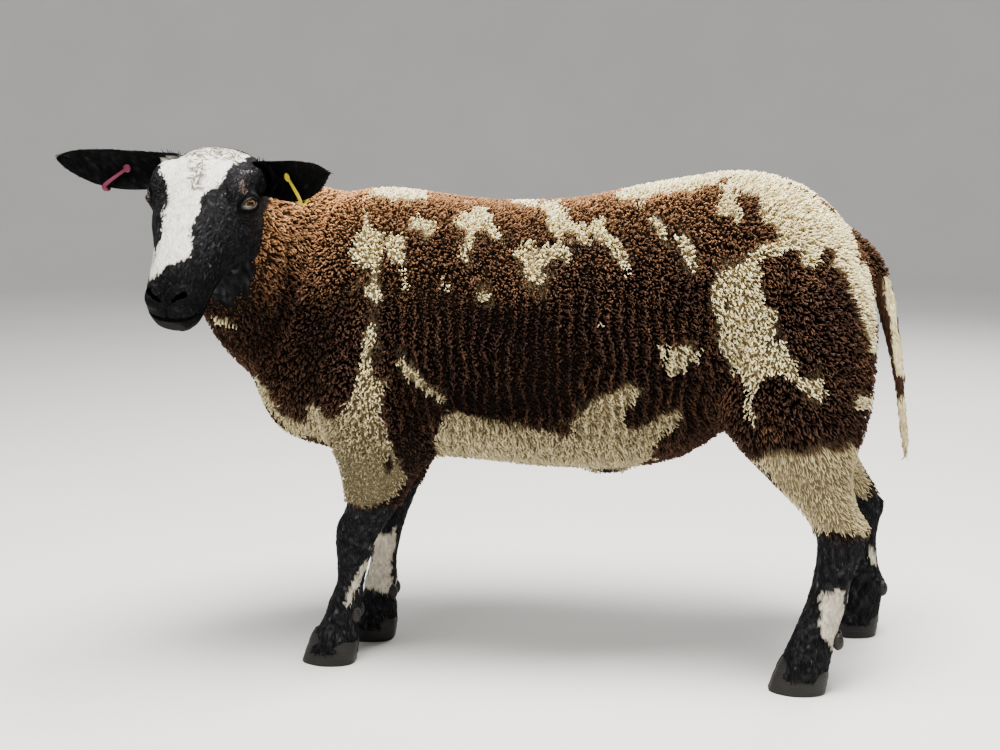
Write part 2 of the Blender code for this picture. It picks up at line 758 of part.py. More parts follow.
def wool_region(point):
    """The kind of wool at a point of the core, or None where the coat is short."""
    head_point, head_facing = HEAD_CUT
    if (point - head_point).dot(head_facing) > -0.020:
        return None
    tail_point, tail_facing = TAIL_CUT
    if (point - tail_point).dot(tail_facing) > -0.004 and abs(point.y) < 0.05:
        return None
    if (point - TAIL_ROOT).length < TAIL_ROOT_CLEAR:
        return None
    if point.z < 0.262:
        return None
    if point.z < 0.385 and (point.x < -0.02 or point.x > 0.33):
        return "leg"
    neck_point, neck_facing = NECK_CUT
    if (point - neck_point).dot(neck_facing) > 0.0:
        return "neck"
    return "trunk"


def clump_rise(kind, point):
    """How far a clump stands out of the core at a point."""
    full = COAT_DEPTH * (1 - CORE_SHARE)
    if kind == "leg":
        return full * max(0.45, leg_wool(point.z))
    return full


def sample_wool(surface, draw):
    """Random points over the woolly part of a surface, each with its kind of wool."""
    mesh = surface.data
    mesh.calc_loop_triangles()
    corners = [[mesh.vertices[i].co.copy() for i in tri.vertices] for tri in mesh.loop_triangles]
    areas = np.array([tri.area for tri in mesh.loop_triangles])
    chances = np.cumsum(areas) / areas.sum()
    samples = []
    for _ in range(WOOL_SAMPLES):
        a, b, c = corners[int(np.searchsorted(chances, draw.random()))]
        u, v = draw.random(), draw.random()
        if u + v > 1:
            u, v = 1 - u, 1 - v
        point = a + (b - a) * u + (c - a) * v
        kind = wool_region(point)
        if kind is not None:
            samples.append((point, kind))
    return samples


def scatter_roots(surface, tree, draw):
    """Roots set evenly over the wool: kept apart first, then each moved amid its own samples."""
    samples = sample_wool(surface, draw)
    roots = []
    for point, kind in samples:
        if all((point - other).length > 0.5 * (CLUMP_SPACING[kind] + CLUMP_SPACING[other_kind])
               for other, other_kind in roots):
            roots.append((point, kind))
    cloud = np.array([point for point, _ in samples])
    for _ in range(EVENING_ROUNDS):
        places = np.array([point for point, _ in roots])
        sizes = np.array([CLUMP_SPACING[kind] for _, kind in roots])
        nearest = (np.linalg.norm(cloud[:, None] - places[None], axis=2) / sizes).argmin(axis=1)
        moved = []
        for index, (point, kind) in enumerate(roots):
            own = cloud[nearest == index]
            middle = Vector(own.mean(axis=0)) if len(own) else point
            moved.append((tree.find_nearest(middle)[0], kind))
        roots = moved
    return [(point, kind, tree.find_nearest(point)[1]) for point, kind in roots]


def clump(name, tree, point, kind, facing, draw):
    """One rounded clump of wool that follows the core's surface, its root sunk in the core."""
    lie = Vector((0.35, 0, -0.6))
    radius = CLUMP_SPREAD * CLUMP_SPACING[kind] * draw.uniform(0.92, 1.10)
    rise = clump_rise(kind, point) * draw.uniform(0.90, 1.06)
    along = unit(lie - facing * lie.dot(facing))
    across = facing.cross(along)
    phase = draw.uniform(0, math.pi)
    shape = bmesh.new()
    top = shape.verts.new(point + facing * rise)
    rings = []
    for share, height in ((0.60, 0.80 * rise), (1.0, -0.002), (0.72, -CLUMP_ROOT[kind])):
        ring = []
        for index in range(CLUMP_SIDES):
            angle = phase + 2 * math.pi * index / CLUMP_SIDES
            wobble = draw.uniform(0.94, 1.06)
            flat = along * (1.08 * math.cos(angle)) + across * (0.95 * math.sin(angle))
            spot, outward, _, _ = tree.find_nearest(point + flat * radius * share * wobble)
            ring.append(shape.verts.new(spot + outward * height))
        rings.append(ring)
    root = shape.verts.new(point - facing * CLUMP_ROOT[kind])
    for index in range(CLUMP_SIDES):
        after = (index + 1) % CLUMP_SIDES
        shape.faces.new((top, rings[0][index], rings[0][after]))
        for upper, lower in zip(rings, rings[1:]):
            shape.faces.new((upper[index], lower[index], lower[after]))
            shape.faces.new((upper[index], lower[after], upper[after]))
        shape.faces.new((root, rings[-1][after], rings[-1][index]))
    bmesh.ops.recalc_face_normals(shape, faces=shape.faces)
    return make_object(name, shape)


def tail_clumps():
    """Rounded clumps that wind down the tail, each within its section's own reach."""
    heights = [row[0] for row in reversed(TAIL)]
    clumps = []
    for index in range(TAIL_CLUMPS):
        high, low = TAIL_CLUMP_HEIGHTS
        z = high + (low - high) * index / (TAIL_CLUMPS - 1)
        x, half_length, half_width = (
            float(np.interp(z, heights, [row[column] for row in reversed(TAIL)]))
            for column in (1, 2, 3))
        angle = math.radians(137.5) * index
        centre = (x + 0.36 * half_length * math.cos(angle), 0.36 * half_width * math.sin(angle), z)
        sizes = (0.66 * half_length, 0.66 * half_width, 0.90 * half_width)
        clumps.append(ball("tail_clump", centre, sizes))
    return clumps


def tag_form(name, ear, start, end, top):
    """A slim looped tag: down the cup, round the lower edge and up the back of an ear."""
    along, up, cup = ear_axes(ear)
    half = 0.5 * TAG_THICKNESS
    off = half + TAG_CLEARANCE
    edge = ear_point(ear, end, -1.0, 0)
    behind = ear_point(ear, end, -1.0, 1)
    route = [
        ear_point(ear, start, top, 0) + cup * off,
        ear_point(ear, end, -0.86, 0) + cup * (off + 0.0010),
        edge - up * off + cup * 0.0026,
        0.5 * (edge + behind) - up * 0.0056,
        behind - up * off - cup * 0.0026,
        ear_point(ear, end, -0.84, 1) - cup * (off + 0.0012),
        ear_point(ear, end, -0.50, 1) - cup * (off + 0.0012),
    ]
    rings = []
    for index, point in enumerate(route):
        before = route[max(0, index - 1)]
        after = route[min(len(route) - 1, index + 1)]
        run = unit(after - before)
        side = unit(along - run * along.dot(run))
        thick = run.cross(side)
        wide = TAG_WIDTH * (0.62 if index == 0 else 0.5)
        rings.append([point + side * wide + thick * half, point - side * wide + thick * half,
                      point - side * wide - thick * half, point + side * wide - thick * half])
    return loft(name, rings)


def material(name, colour, roughness, metallic=0.0):
    stuff = bpy.data.materials.new(name)
    stuff.use_nodes = True
    shader = stuff.node_tree.nodes["Principled BSDF"]
    shader.inputs["Base Color"].default_value = colour
    shader.inputs["Roughness"].default_value = roughness
    shader.inputs["Metallic"].default_value = metallic
    stuff.diffuse_color = colour
    return stuff


def build_whole():
    """The fused animal with its head, ears and clumps, before it is parted."""
    inset = COAT_DEPTH * (1 - CORE_SHARE)
    forms = [trunk_form(inset), neck_form(inset)]
    forms += [leg_form(name, inset) for name in LEGS]
    forms += [ball("bump", centre, sizes) for centre, sizes in BUMPS]
    whole = join("whole", forms)
    melt(whole, BODY_VOXEL, 5, BODY_TRIANGLES)
    keep_largest(whole)
    draw = random.Random(SEED)
    tree = BVHTree.FromObject(whole, bpy.context.evaluated_depsgraph_get())
    roots = scatter_roots(whole, tree, draw)
    head = head_form()
    melt(head, HEAD_VOXEL, 4, HEAD_TRIANGLES)
    boolean(whole, head, "UNION")
    clumps = [clump("clump", tree, *root, draw) for root in roots] + tail_clumps()
    ears = [ear_form(name) for name in ("left", "right")]
    union_all(whole, clumps + ears + [tail_form(CORE_SHARE)])
    return whole


def build_sheep():
    whole = build_whole()
    head = part_off(whole, "head", side_of(HEAD_CUT, 0.20))
    nodes = [head]
    for name in ("left", "right"):
        along, up, cup = ear_axes(name)
        side = 1 if name == "left" else -1
        root = on_head(EAR_ROOT[0], EAR_ROOT[1], side * EAR_ROOT[2])
        start = root + along * EAR_LENGTH * EAR_SPLIT
        nodes.append(part_off(head, "ear_" + name, (start + along * 0.08, (along, up, cup),
                                                    (0.08, 0.06, 0.06))))
    cut_eyes(head)
    cut_nostrils(head)
    cut_mouth(head)
    keep_largest(head)
    nodes.append(part_off(whole, "tail", side_of(TAIL_CUT, 0.06, (0.05, 0.19))))
    nodes.append(part_off(whole, "neck", side_of(NECK_CUT, 0.15, (0.35, 0.19))))
    leg_cells = (
        ("fore_left", FORELEG_CUT, FORELEG_MIDDLE - 0.13, 0.13, 0.17, 0.13),
        ("fore_right", FORELEG_CUT, FORELEG_MIDDLE + 0.13, 0.13, 0.17, 0.13),
        ("hind_left", HINDLEG_CUT, -0.165, 0.125, 0.26, 0.155),
        ("hind_right", HINDLEG_CUT, 0.165, 0.125, 0.26, 0.155),
    )
    for name, cut, across, half_across, reach, half_along in leg_cells:
        place = (cut[0] + Vector((0, across, 0)), cut[1])
        upper = part_off(whole, "upper_leg_" + name,
                         side_of(place, reach, (half_across, half_along)))
        split = (Vector((place[0].x, place[0].y, LEG_SPLIT[name])), Vector((0, 0, -1)))
        lower = part_off(upper, "lower_leg_" + name, side_of(split, 0.15))
        keep_largest(upper)
        trim_foot(lower, name)
        keep_largest(lower)
        nodes += [upper, lower]
        outward = -1 if name.endswith("left") else 1
        for claw, side in (("outer", outward), ("inner", -outward)):
            nodes.append(claw_form("hoof_" + name + "_" + claw, name, side))
    keep_largest(whole)
    whole.name = "torso"
    nodes.append(whole)
    for name, side in (("left", 1), ("right", -1)):
        along, out, across = EYE_PLACE
        nodes.append(ball("eye_" + name, on_head(along, out, side * across), [EYE_RADIUS] * 3))
    nodes.append(tag_form("ear_tag_right", "right", 0.40, 0.57, 0.05))
    nodes.append(tag_form("ear_tag_left", "left", 0.36, 0.55, 0.15))
    return nodes


def paint(nodes):
    looks = {
        "torso": material("fleece_brown", BROWN, 0.95),
        "neck": material("fleece_neck", BROWN, 0.95),
        "tail": material("fleece_tail", CREAM, 0.95),
        "upper": material("fleece_leg", BROWN, 0.95),
        "lower": material("leg_hair", BLACK, 0.80),
        "head": material("face_hair", BLACK, 0.75),
        "ear": material("ear_hair", BLACK, 0.80),
        "eye": material("eye", AMBER, 0.10),
        "hoof": material("hoof_horn", HORN, 0.50),
        "ear_tag_left": material("tag_yellow", YELLOW, 0.40),
        "ear_tag_right": material("tag_red", RED, 0.40),
    }
    for node in nodes:
        kind = node.name if node.name in looks else node.name.split("_")[0]
        node.data.materials.clear()
        node.data.materials.append(looks[kind])


def settle(nodes):
    """Set the middle of the whole on the origin, its soles at zero, and hang each node there."""
    corners = np.array([corner.co for node in nodes for corner in node.data.vertices])
    low = corners.min(axis=0)
    high = corners.max(axis=0)
    shift = Vector((-0.5 * (low[0] + high[0]), -0.5 * (low[1] + high[1]), -low[2]))
    stand = bpy.data.objects.new("sheep", None)
    bpy.context.scene.collection.objects.link(stand)
    for node in nodes:
        points = np.array([corner.co for corner in node.data.vertices])
        middle = Vector(0.5 * (points.min(axis=0) + points.max(axis=0)))
        node.data.transform(Matrix.Translation(-middle))
        node.location = middle + shift
        node.parent = stand
        node.data.shade_flat()


def main():
    remove_everything()
    nodes = build_sheep()
    paint(nodes)
    settle(nodes)


main()
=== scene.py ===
import math

import bmesh
import bpy
import numpy as np
from mathutils import Matrix, Vector
from mathutils.bvhtree import BVHTree


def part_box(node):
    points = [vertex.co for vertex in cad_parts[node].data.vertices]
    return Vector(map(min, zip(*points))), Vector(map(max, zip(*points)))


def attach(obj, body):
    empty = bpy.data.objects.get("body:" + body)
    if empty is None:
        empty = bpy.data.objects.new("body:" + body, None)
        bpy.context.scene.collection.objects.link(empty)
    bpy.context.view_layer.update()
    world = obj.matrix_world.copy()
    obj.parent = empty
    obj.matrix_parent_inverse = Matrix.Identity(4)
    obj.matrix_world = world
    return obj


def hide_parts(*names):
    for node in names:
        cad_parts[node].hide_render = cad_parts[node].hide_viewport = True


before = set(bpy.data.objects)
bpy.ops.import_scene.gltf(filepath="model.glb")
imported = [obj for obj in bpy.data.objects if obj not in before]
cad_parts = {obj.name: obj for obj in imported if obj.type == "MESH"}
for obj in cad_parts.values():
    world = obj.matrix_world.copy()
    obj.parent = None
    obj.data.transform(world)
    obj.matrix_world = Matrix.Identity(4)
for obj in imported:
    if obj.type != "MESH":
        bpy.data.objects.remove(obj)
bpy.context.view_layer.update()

# A life-size spotted sheep in its short curly fleece. Sizes are in metres. The forms are laid out
# with the animal facing -X and its left side towards -Y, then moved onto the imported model.

SEED = 11
SIDES = {"left": 1, "right": -1}

# The skin lies this far inside the wool's tips.
SKIN_DEPTH = 0.014
BODY_VOXEL = 0.0045
HEAD_VOXEL = 0.0021
OUTER_VOXEL = 0.008
FACE_SHRINK = 0.0010

# Trunk sections: place along X, back height, belly height and half width, out to the wool's tips.
TRUNK = (
    (-0.380, 0.500, 0.425, 0.036),
    (-0.364, 0.555, 0.388, 0.080),
    (-0.335, 0.615, 0.347, 0.120),
    (-0.285, 0.682, 0.327, 0.152),
    (-0.220, 0.724, 0.318, 0.180),
    (-0.140, 0.728, 0.315, 0.198),
    (-0.050, 0.716, 0.312, 0.208),
    (0.040, 0.711, 0.304, 0.214),
    (0.130, 0.717, 0.300, 0.214),
    (0.210, 0.734, 0.303, 0.206),
    (0.290, 0.748, 0.322, 0.196),
    (0.360, 0.757, 0.370, 0.190),
    (0.430, 0.746, 0.400, 0.178),
    (0.485, 0.716, 0.410, 0.158),
    (0.525, 0.672, 0.425, 0.128),
    (0.552, 0.620, 0.450, 0.085),
    (0.558, 0.570, 0.480, 0.036),
)
TRUNK_SQUARENESS = 2.3

# Neck sections: centre, turn to the left, rise, half width, reach up and reach down.
NECK = (
    (-0.175, 0.000, 0.545, 0.0, 15.0, 0.150, 0.180, 0.180),
    (-0.255, -0.012, 0.572, 20.0, 25.0, 0.124, 0.160, 0.178),
    (-0.320, -0.050, 0.606, 42.0, 25.0, 0.108, 0.140, 0.168),
    (-0.357, -0.103, 0.640, 62.0, 22.0, 0.097, 0.124, 0.146),
    (-0.372, -0.155, 0.665, 74.0, 15.0, 0.087, 0.106, 0.122),
    (-0.380, -0.190, 0.680, 76.0, 5.0, 0.064, 0.078, 0.090),
)

# The face line starts between the eyes. Its heading is turned to the left and falls to the nose.
BROW = Vector((-0.392, -0.280, 0.730))
HEAD_TURN = math.radians(76.0)
FACE_FALL = math.radians(55.0)
HEAD_ROLL = math.radians(8.0)

# Head sections: place along the face line, top, bottom and half width.
HEAD = (
    (-0.112, -0.060, -0.118, 0.040),
    (-0.096, -0.034, -0.136, 0.059),
    (-0.070, -0.012, -0.148, 0.069),
    (-0.035, 0.000, -0.153, 0.075),
    (0.000, 0.001, -0.149, 0.075),
    (0.030, -0.002, -0.137, 0.070),
    (0.060, -0.004, -0.123, 0.056),
    (0.090, -0.006, -0.111, 0.046),
    (0.118, -0.010, -0.103, 0.043),
    (0.140, -0.017, -0.099, 0.042),
    (0.160, -0.031, -0.094, 0.036),
    (0.173, -0.054, -0.084, 0.022),
)
HEAD_SQUARENESS = 2.2

# Swells of the head: place along, out of and across the face line, then the three half sizes.
HEAD_SWELLS = (
    (-0.028, -0.018, 0.055, 0.028, 0.015, 0.019),
    (-0.005, -0.100, 0.053, 0.050, 0.042, 0.021),
    (0.146, -0.033, 0.020, 0.021, 0.015, 0.015),
    (0.136, -0.068, 0.024, 0.032, 0.014, 0.018),
    (-0.062, -0.056, 0.060, 0.020, 0.022, 0.022),
    (-0.046, -0.036, 0.060, 0.022, 0.020, 0.017),
)
CHIN = (0.138, -0.098, 0.0, 0.029, 0.012, 0.024)

# Eyes: radius, place along, out of and across the face line, tilt of the slit, thickness of the
# lids, half sizes of the soft skirt round them, half the slit's length, and the gap in the socket.
EYE_RADIUS = 0.0145
EYE_PLACE = (-0.010, -0.037, 0.0655)
EYE_TILT = math.radians(13.0)
LID_THICKNESS = 0.0030
LID_SKIRT = (0.0270, 0.0230, 0.0135)
EYE_HALF_LENGTH = 0.0140
SOCKET_GAP = 0.0002
# The lids' edges curve this much, and rise and fall this far from the slit's long line. Each has a
# rim this thick, laid this far out from the eye in so many steps.
LID_CURVE = 0.0130
LID_RISES = (0.0078, 0.0062)
LID_RIM = 0.0015
RIM_OUT = 0.0014
RIM_STEPS = 64
NOSTRIL_PLACE = (0.149, -0.026, 0.0180)
NOSTRIL_SIZE = (0.0150, 0.0027, 0.0100)
# The rounder hole of a nostril: its place along and across the slit, and its half sizes.
HOLE_OFFSET = (0.0075, 0.0012)
HOLE_SIZE = (0.0052, 0.0040, 0.0130)
# The folds round a nostril: how far across, along and behind it they lie, and their half sizes
# above and below it.
FOLD_OFFSET = (0.0078, 0.0010, 0.0026)
FOLD_SIZES = ((0.0150, 0.0050, 0.0062), (0.0120, 0.0056, 0.0060))
GROOVE_PLACE = (0.1670, -0.0440, 0.0)
GROOVE_SIZE = (0.0130, 0.0019, 0.0052)
NOSTRIL_SLANT = math.radians(38.0)
NOSE_SLOPE = math.radians(35.0)
MOUTH_CENTRE = (0.110, -0.070)
MOUTH_TILT = math.radians(18.0)
MOUTH_SWING = math.radians(118.0)
MOUTH_DEPTH = 0.006
MOUTH_WIDTH = 0.0044
MOUTH_STEPS = 36

# Ears: length, greatest half height, depth of the cup, thickness, droop, and the place of the root.
EAR_LENGTH = 0.184
EAR_HALF_HEIGHT = 0.0285
EAR_CUP = 0.016
EAR_THICKNESS = 0.0042
EAR_DROOP = 0.007
EAR_ROOT = (-0.064, -0.055, 0.067)
# An ear's sides run on almost level to a blunt tip.
EAR_BLUNTNESS = 1.4
EAR_SWEEP = {"left": math.radians(-37.0), "right": math.radians(2.0)}
EAR_RISE = {"left": math.radians(7.0), "right": math.radians(0.3)}

# Leg sections from the top down: height, centre along X, centre across, half length, half width.
LEGS = {
    "fore_left": (
        (0.560, -0.175, -0.110, 0.100, 0.060),
        (0.460, -0.168, -0.122, 0.105, 0.070),
        (0.380, -0.162, -0.120, 0.094, 0.066),
        (0.325, -0.164, -0.112, 0.072, 0.056),
        (0.285, -0.172, -0.105, 0.052, 0.047),
        (0.250, -0.181, -0.099, 0.040, 0.038),
        (0.222, -0.198, -0.095, 0.037, 0.034),
        (0.195, -0.207, -0.092, 0.032, 0.032),
        (0.165, -0.213, -0.090, 0.025, 0.026),
        (0.130, -0.218, -0.088, 0.021, 0.022),
        (0.100, -0.226, -0.087, 0.025, 0.027),
        (0.075, -0.233, -0.086, 0.026, 0.030),
        (0.045, -0.242, -0.085, 0.034, 0.033),
        (0.015, -0.252, -0.085, 0.038, 0.034),
    ),
    "fore_right": (
        (0.560, -0.175, 0.110, 0.100, 0.060),
        (0.460, -0.165, 0.118, 0.105, 0.070),
        (0.380, -0.155, 0.110, 0.092, 0.064),
        (0.325, -0.158, 0.094, 0.068, 0.055),
        (0.285, -0.165, 0.080, 0.050, 0.046),
        (0.250, -0.172, 0.068, 0.039, 0.037),
        (0.222, -0.180, 0.058, 0.035, 0.033),
        (0.195, -0.185, 0.052, 0.030, 0.031),
        (0.165, -0.188, 0.046, 0.025, 0.026),
        (0.130, -0.190, 0.042, 0.021, 0.022),
        (0.100, -0.193, 0.038, 0.025, 0.027),
        (0.075, -0.197, 0.036, 0.026, 0.030),
        (0.045, -0.202, 0.035, 0.034, 0.033),
        (0.015, -0.208, 0.035, 0.038, 0.034),
    ),
    "hind_left": (
        (0.650, 0.410, -0.080, 0.110, 0.080),
        (0.560, 0.425, -0.098, 0.135, 0.088),
        (0.470, 0.433, -0.112, 0.128, 0.084),
        (0.410, 0.440, -0.122, 0.115, 0.076),
        (0.360, 0.448, -0.130, 0.091, 0.066),
        (0.318, 0.466, -0.134, 0.064, 0.053),
        (0.280, 0.489, -0.137, 0.045, 0.043),
        (0.248, 0.509, -0.139, 0.037, 0.035),
        (0.210, 0.512, -0.140, 0.033, 0.029),
        (0.170, 0.502, -0.140, 0.028, 0.024),
        (0.135, 0.495, -0.140, 0.029, 0.026),
        (0.100, 0.484, -0.140, 0.030, 0.031),
        (0.060, 0.472, -0.140, 0.034, 0.034),
        (0.020, 0.461, -0.140, 0.038, 0.035),
    ),
    "hind_right": (
        (0.650, 0.410, 0.080, 0.110, 0.080),
        (0.560, 0.425, 0.098, 0.135, 0.088),
        (0.470, 0.440, 0.110, 0.126, 0.084),
        (0.410, 0.454, 0.118, 0.112, 0.076),
        (0.360, 0.474, 0.124, 0.088, 0.066),
        (0.315, 0.500, 0.128, 0.062, 0.053),
        (0.275, 0.533, 0.130, 0.044, 0.042),
        (0.240, 0.560, 0.132, 0.037, 0.035),
        (0.205, 0.573, 0.133, 0.033, 0.029),
        (0.165, 0.575, 0.134, 0.026, 0.024),
        (0.120, 0.579, 0.135, 0.026, 0.026),
        (0.092, 0.583, 0.135, 0.031, 0.030),
        (0.055, 0.578, 0.135, 0.034, 0.034),
        (0.020, 0.570, 0.135, 0.038, 0.035),
    ),
}
# The wool thins out down a leg, from full depth at the first height to none at the second.
LEG_WOOL = (0.400, 0.245)

# Rounded bumps of bone and muscle: centre and the three half sizes.
BUMPS = (
    ((0.533, -0.139, 0.243), (0.018, 0.014, 0.022)),
    ((0.594, 0.133, 0.214), (0.018, 0.014, 0.022)),
    ((-0.108, -0.118, 0.352), (0.030, 0.030, 0.034)),
    ((-0.100, 0.108, 0.350), (0.030, 0.030, 0.034)),
    ((0.170, 0.000, 0.306), (0.040, 0.018, 0.018)),
)

# Tail sections: height, centre along X, half length and half width.
TAIL = (
    (0.668, 0.505, 0.030, 0.030),
    (0.640, 0.540, 0.028, 0.030),
    (0.605, 0.566, 0.024, 0.027),
    (0.565, 0.580, 0.022, 0.023),
    (0.520, 0.591, 0.019, 0.019),
    (0.470, 0.602, 0.015, 0.015),
    (0.420, 0.609, 0.011, 0.012),
    (0.370, 0.616, 0.010, 0.010),
    (0.335, 0.620, 0.008, 0.008),
    (0.323, 0.621, 0.004, 0.004),
)
TAIL_WOOL = 0.008

# Feet: the coronet's height and slope, a claw's width and the cleft beside it, the lengths of the
# sole and the coronet, how far the toe reaches forward, the points of a claw's outline, the levels
# of its rings, and the dewclaws' height and half sizes.
CORONET_HEIGHT = 0.043
CORONET_SLOPE = math.radians(14.0)
CLAW_WIDTH = 0.0300
CLEFT = 0.0050
SOLE_LENGTH = 0.084
CORONET_LENGTH = 0.070
TOE_REACH = 0.012
CLAW_SIDES = 26
CLAW_LEVELS = (0.0, 0.015, 0.05, 0.12, 0.25, 0.40, 0.55, 0.70, 0.85, 0.97, 1.0)
DEWCLAW_HEIGHT = 0.086
DEWCLAW_SIZE = (0.0085, 0.0075, 0.0125)

# The tail's own hair lies behind a plane, given by a point and the way out of it, between two
# heights and within a half width.
TAIL_CUT = (Vector((0.5715, 0.0, 0.490)), Vector((1.0, 0.0, 0.03)).normalized())
TAIL_HEIGHTS = (0.30, 0.60)
TAIL_HALF_WIDTH = 0.034

# The camera of the photograph: where it stands, its heading and its fall, and its focal length in
# pixels of a picture 1000 wide and 750 high.
CAMERA_PLACE = Vector((0.25, -2.35, 0.82))
CAMERA_TURN = math.radians(6.0)
CAMERA_FALL = math.atan(250.0 / 1550.0)
CAMERA_FOCUS = 1550.0
PICTURE = (1000.0, 750.0)

# An ear tag is a slim strip, this wide and thick and this clear of the ear, with a round button at
# each end.
TAG_WIDTH = 0.0085
TAG_THICKNESS = 0.0020
TAG_CLEARANCE = 0.0032
TAG_BUTTON = (0.0062, 0.0062, 0.0024)

# The flank's ribs lie this far apart and lean this far together, and the other wool gathers in
# clumps of this size.
RIB_SPACING = 0.0172
RIB_PULL = 0.0046
CLUMP_CELL = 0.0085
# The ways the coat lies over the body, how near to the skin and how far off it its depth is
# measured, how deep a tuft's root lies, and how large its own patch of the unwrapped skin is.
LIES = {"wool": (0.35, 0.0, -0.65), "leg": (0.12, 0.0, -1.0), "tail": (0.15, 0.0, -1.0)}
DEPTH_START = 0.0004
DEPTH_END = 0.034
ROOT_DEPTH = 0.0016
PATCH = 0.003
# The wool of the neck ends in a ruff round the face, along a slanting plane of the head.
RUFF_TILT = math.radians(50.5)
RUFF_PLACE = -0.084
# Short hair covers the legs below this height.
LEG_HAIR_TOP = {"fore": 0.257, "hind": 0.240}
# The bare dark end of the sheath under the belly: its middle and half sizes.
SHEATH = ((0.173, 0.0, 0.290), (0.017, 0.020, 0.014))

# Wool locks: how far apart their roots are, how thick they are, and how wide they curl.
WOOL_GAP = 0.0031
WOOL_THICK = 0.0014
WOOL_CURL = 0.0016
# The sides of a tuft, and the most triangles in one piece of the coat.
TUFT_SIDES = 3
PIECE_TRIANGLES = 180000

# How far along a tuft each ring is and how thick it is there: blunt locks, hairs and tail hairs.
LOCK_FORM = ((0.0, 0.70), (0.50, 1.00), (0.84, 0.90), (1.0, 0.0))
HAIR_FORM = ((0.0, 0.75), (0.50, 1.00), (1.0, 0.0))
TAIL_FORM = ((0.0, 0.75), (0.25, 1.00), (0.50, 1.00), (0.75, 0.75), (1.0, 0.0))

# Short hair of the face, ears, legs and tail: gap between roots, length, thickness, the share of
# its length that it rises, and how wide it curls.
HAIR = {
    "face": (0.0021, 0.0085, 0.00062, 0.15, 0.0002),
    "ear": (0.0026, 0.0085, 0.00062, 0.14, 0.0002),
    "leg": (0.0030, 0.0100, 0.00085, 0.18, 0.0002),
    "tail": (0.0034, 0.0150, 0.00110, 0.16, 0.0014),
}
# Hair keeps this clear of the lids' edges, and the lids are dark this far round them.
LID_BARE = 0.0028
LID_DARK = 0.0055

# The right side has the left side's markings, moved this far along.
MIRROR_SHIFT = 0.060
# How many pixels the markings' edges wander, single tufts stray, and the edges wander where the
# body turns away from the camera.
EDGE_WANDER = 1.3
TUFT_STRAY = 0.9
FAR_WANDER = 8.0
# How ginger the tips of the dark wool are on each part.
# Ginger grows towards the top: partly the tips' own colour, partly painted light from above.
GINGER = {"withers": 0.60, "neck": 0.56, "ruff": 0.30, "back": 0.15}

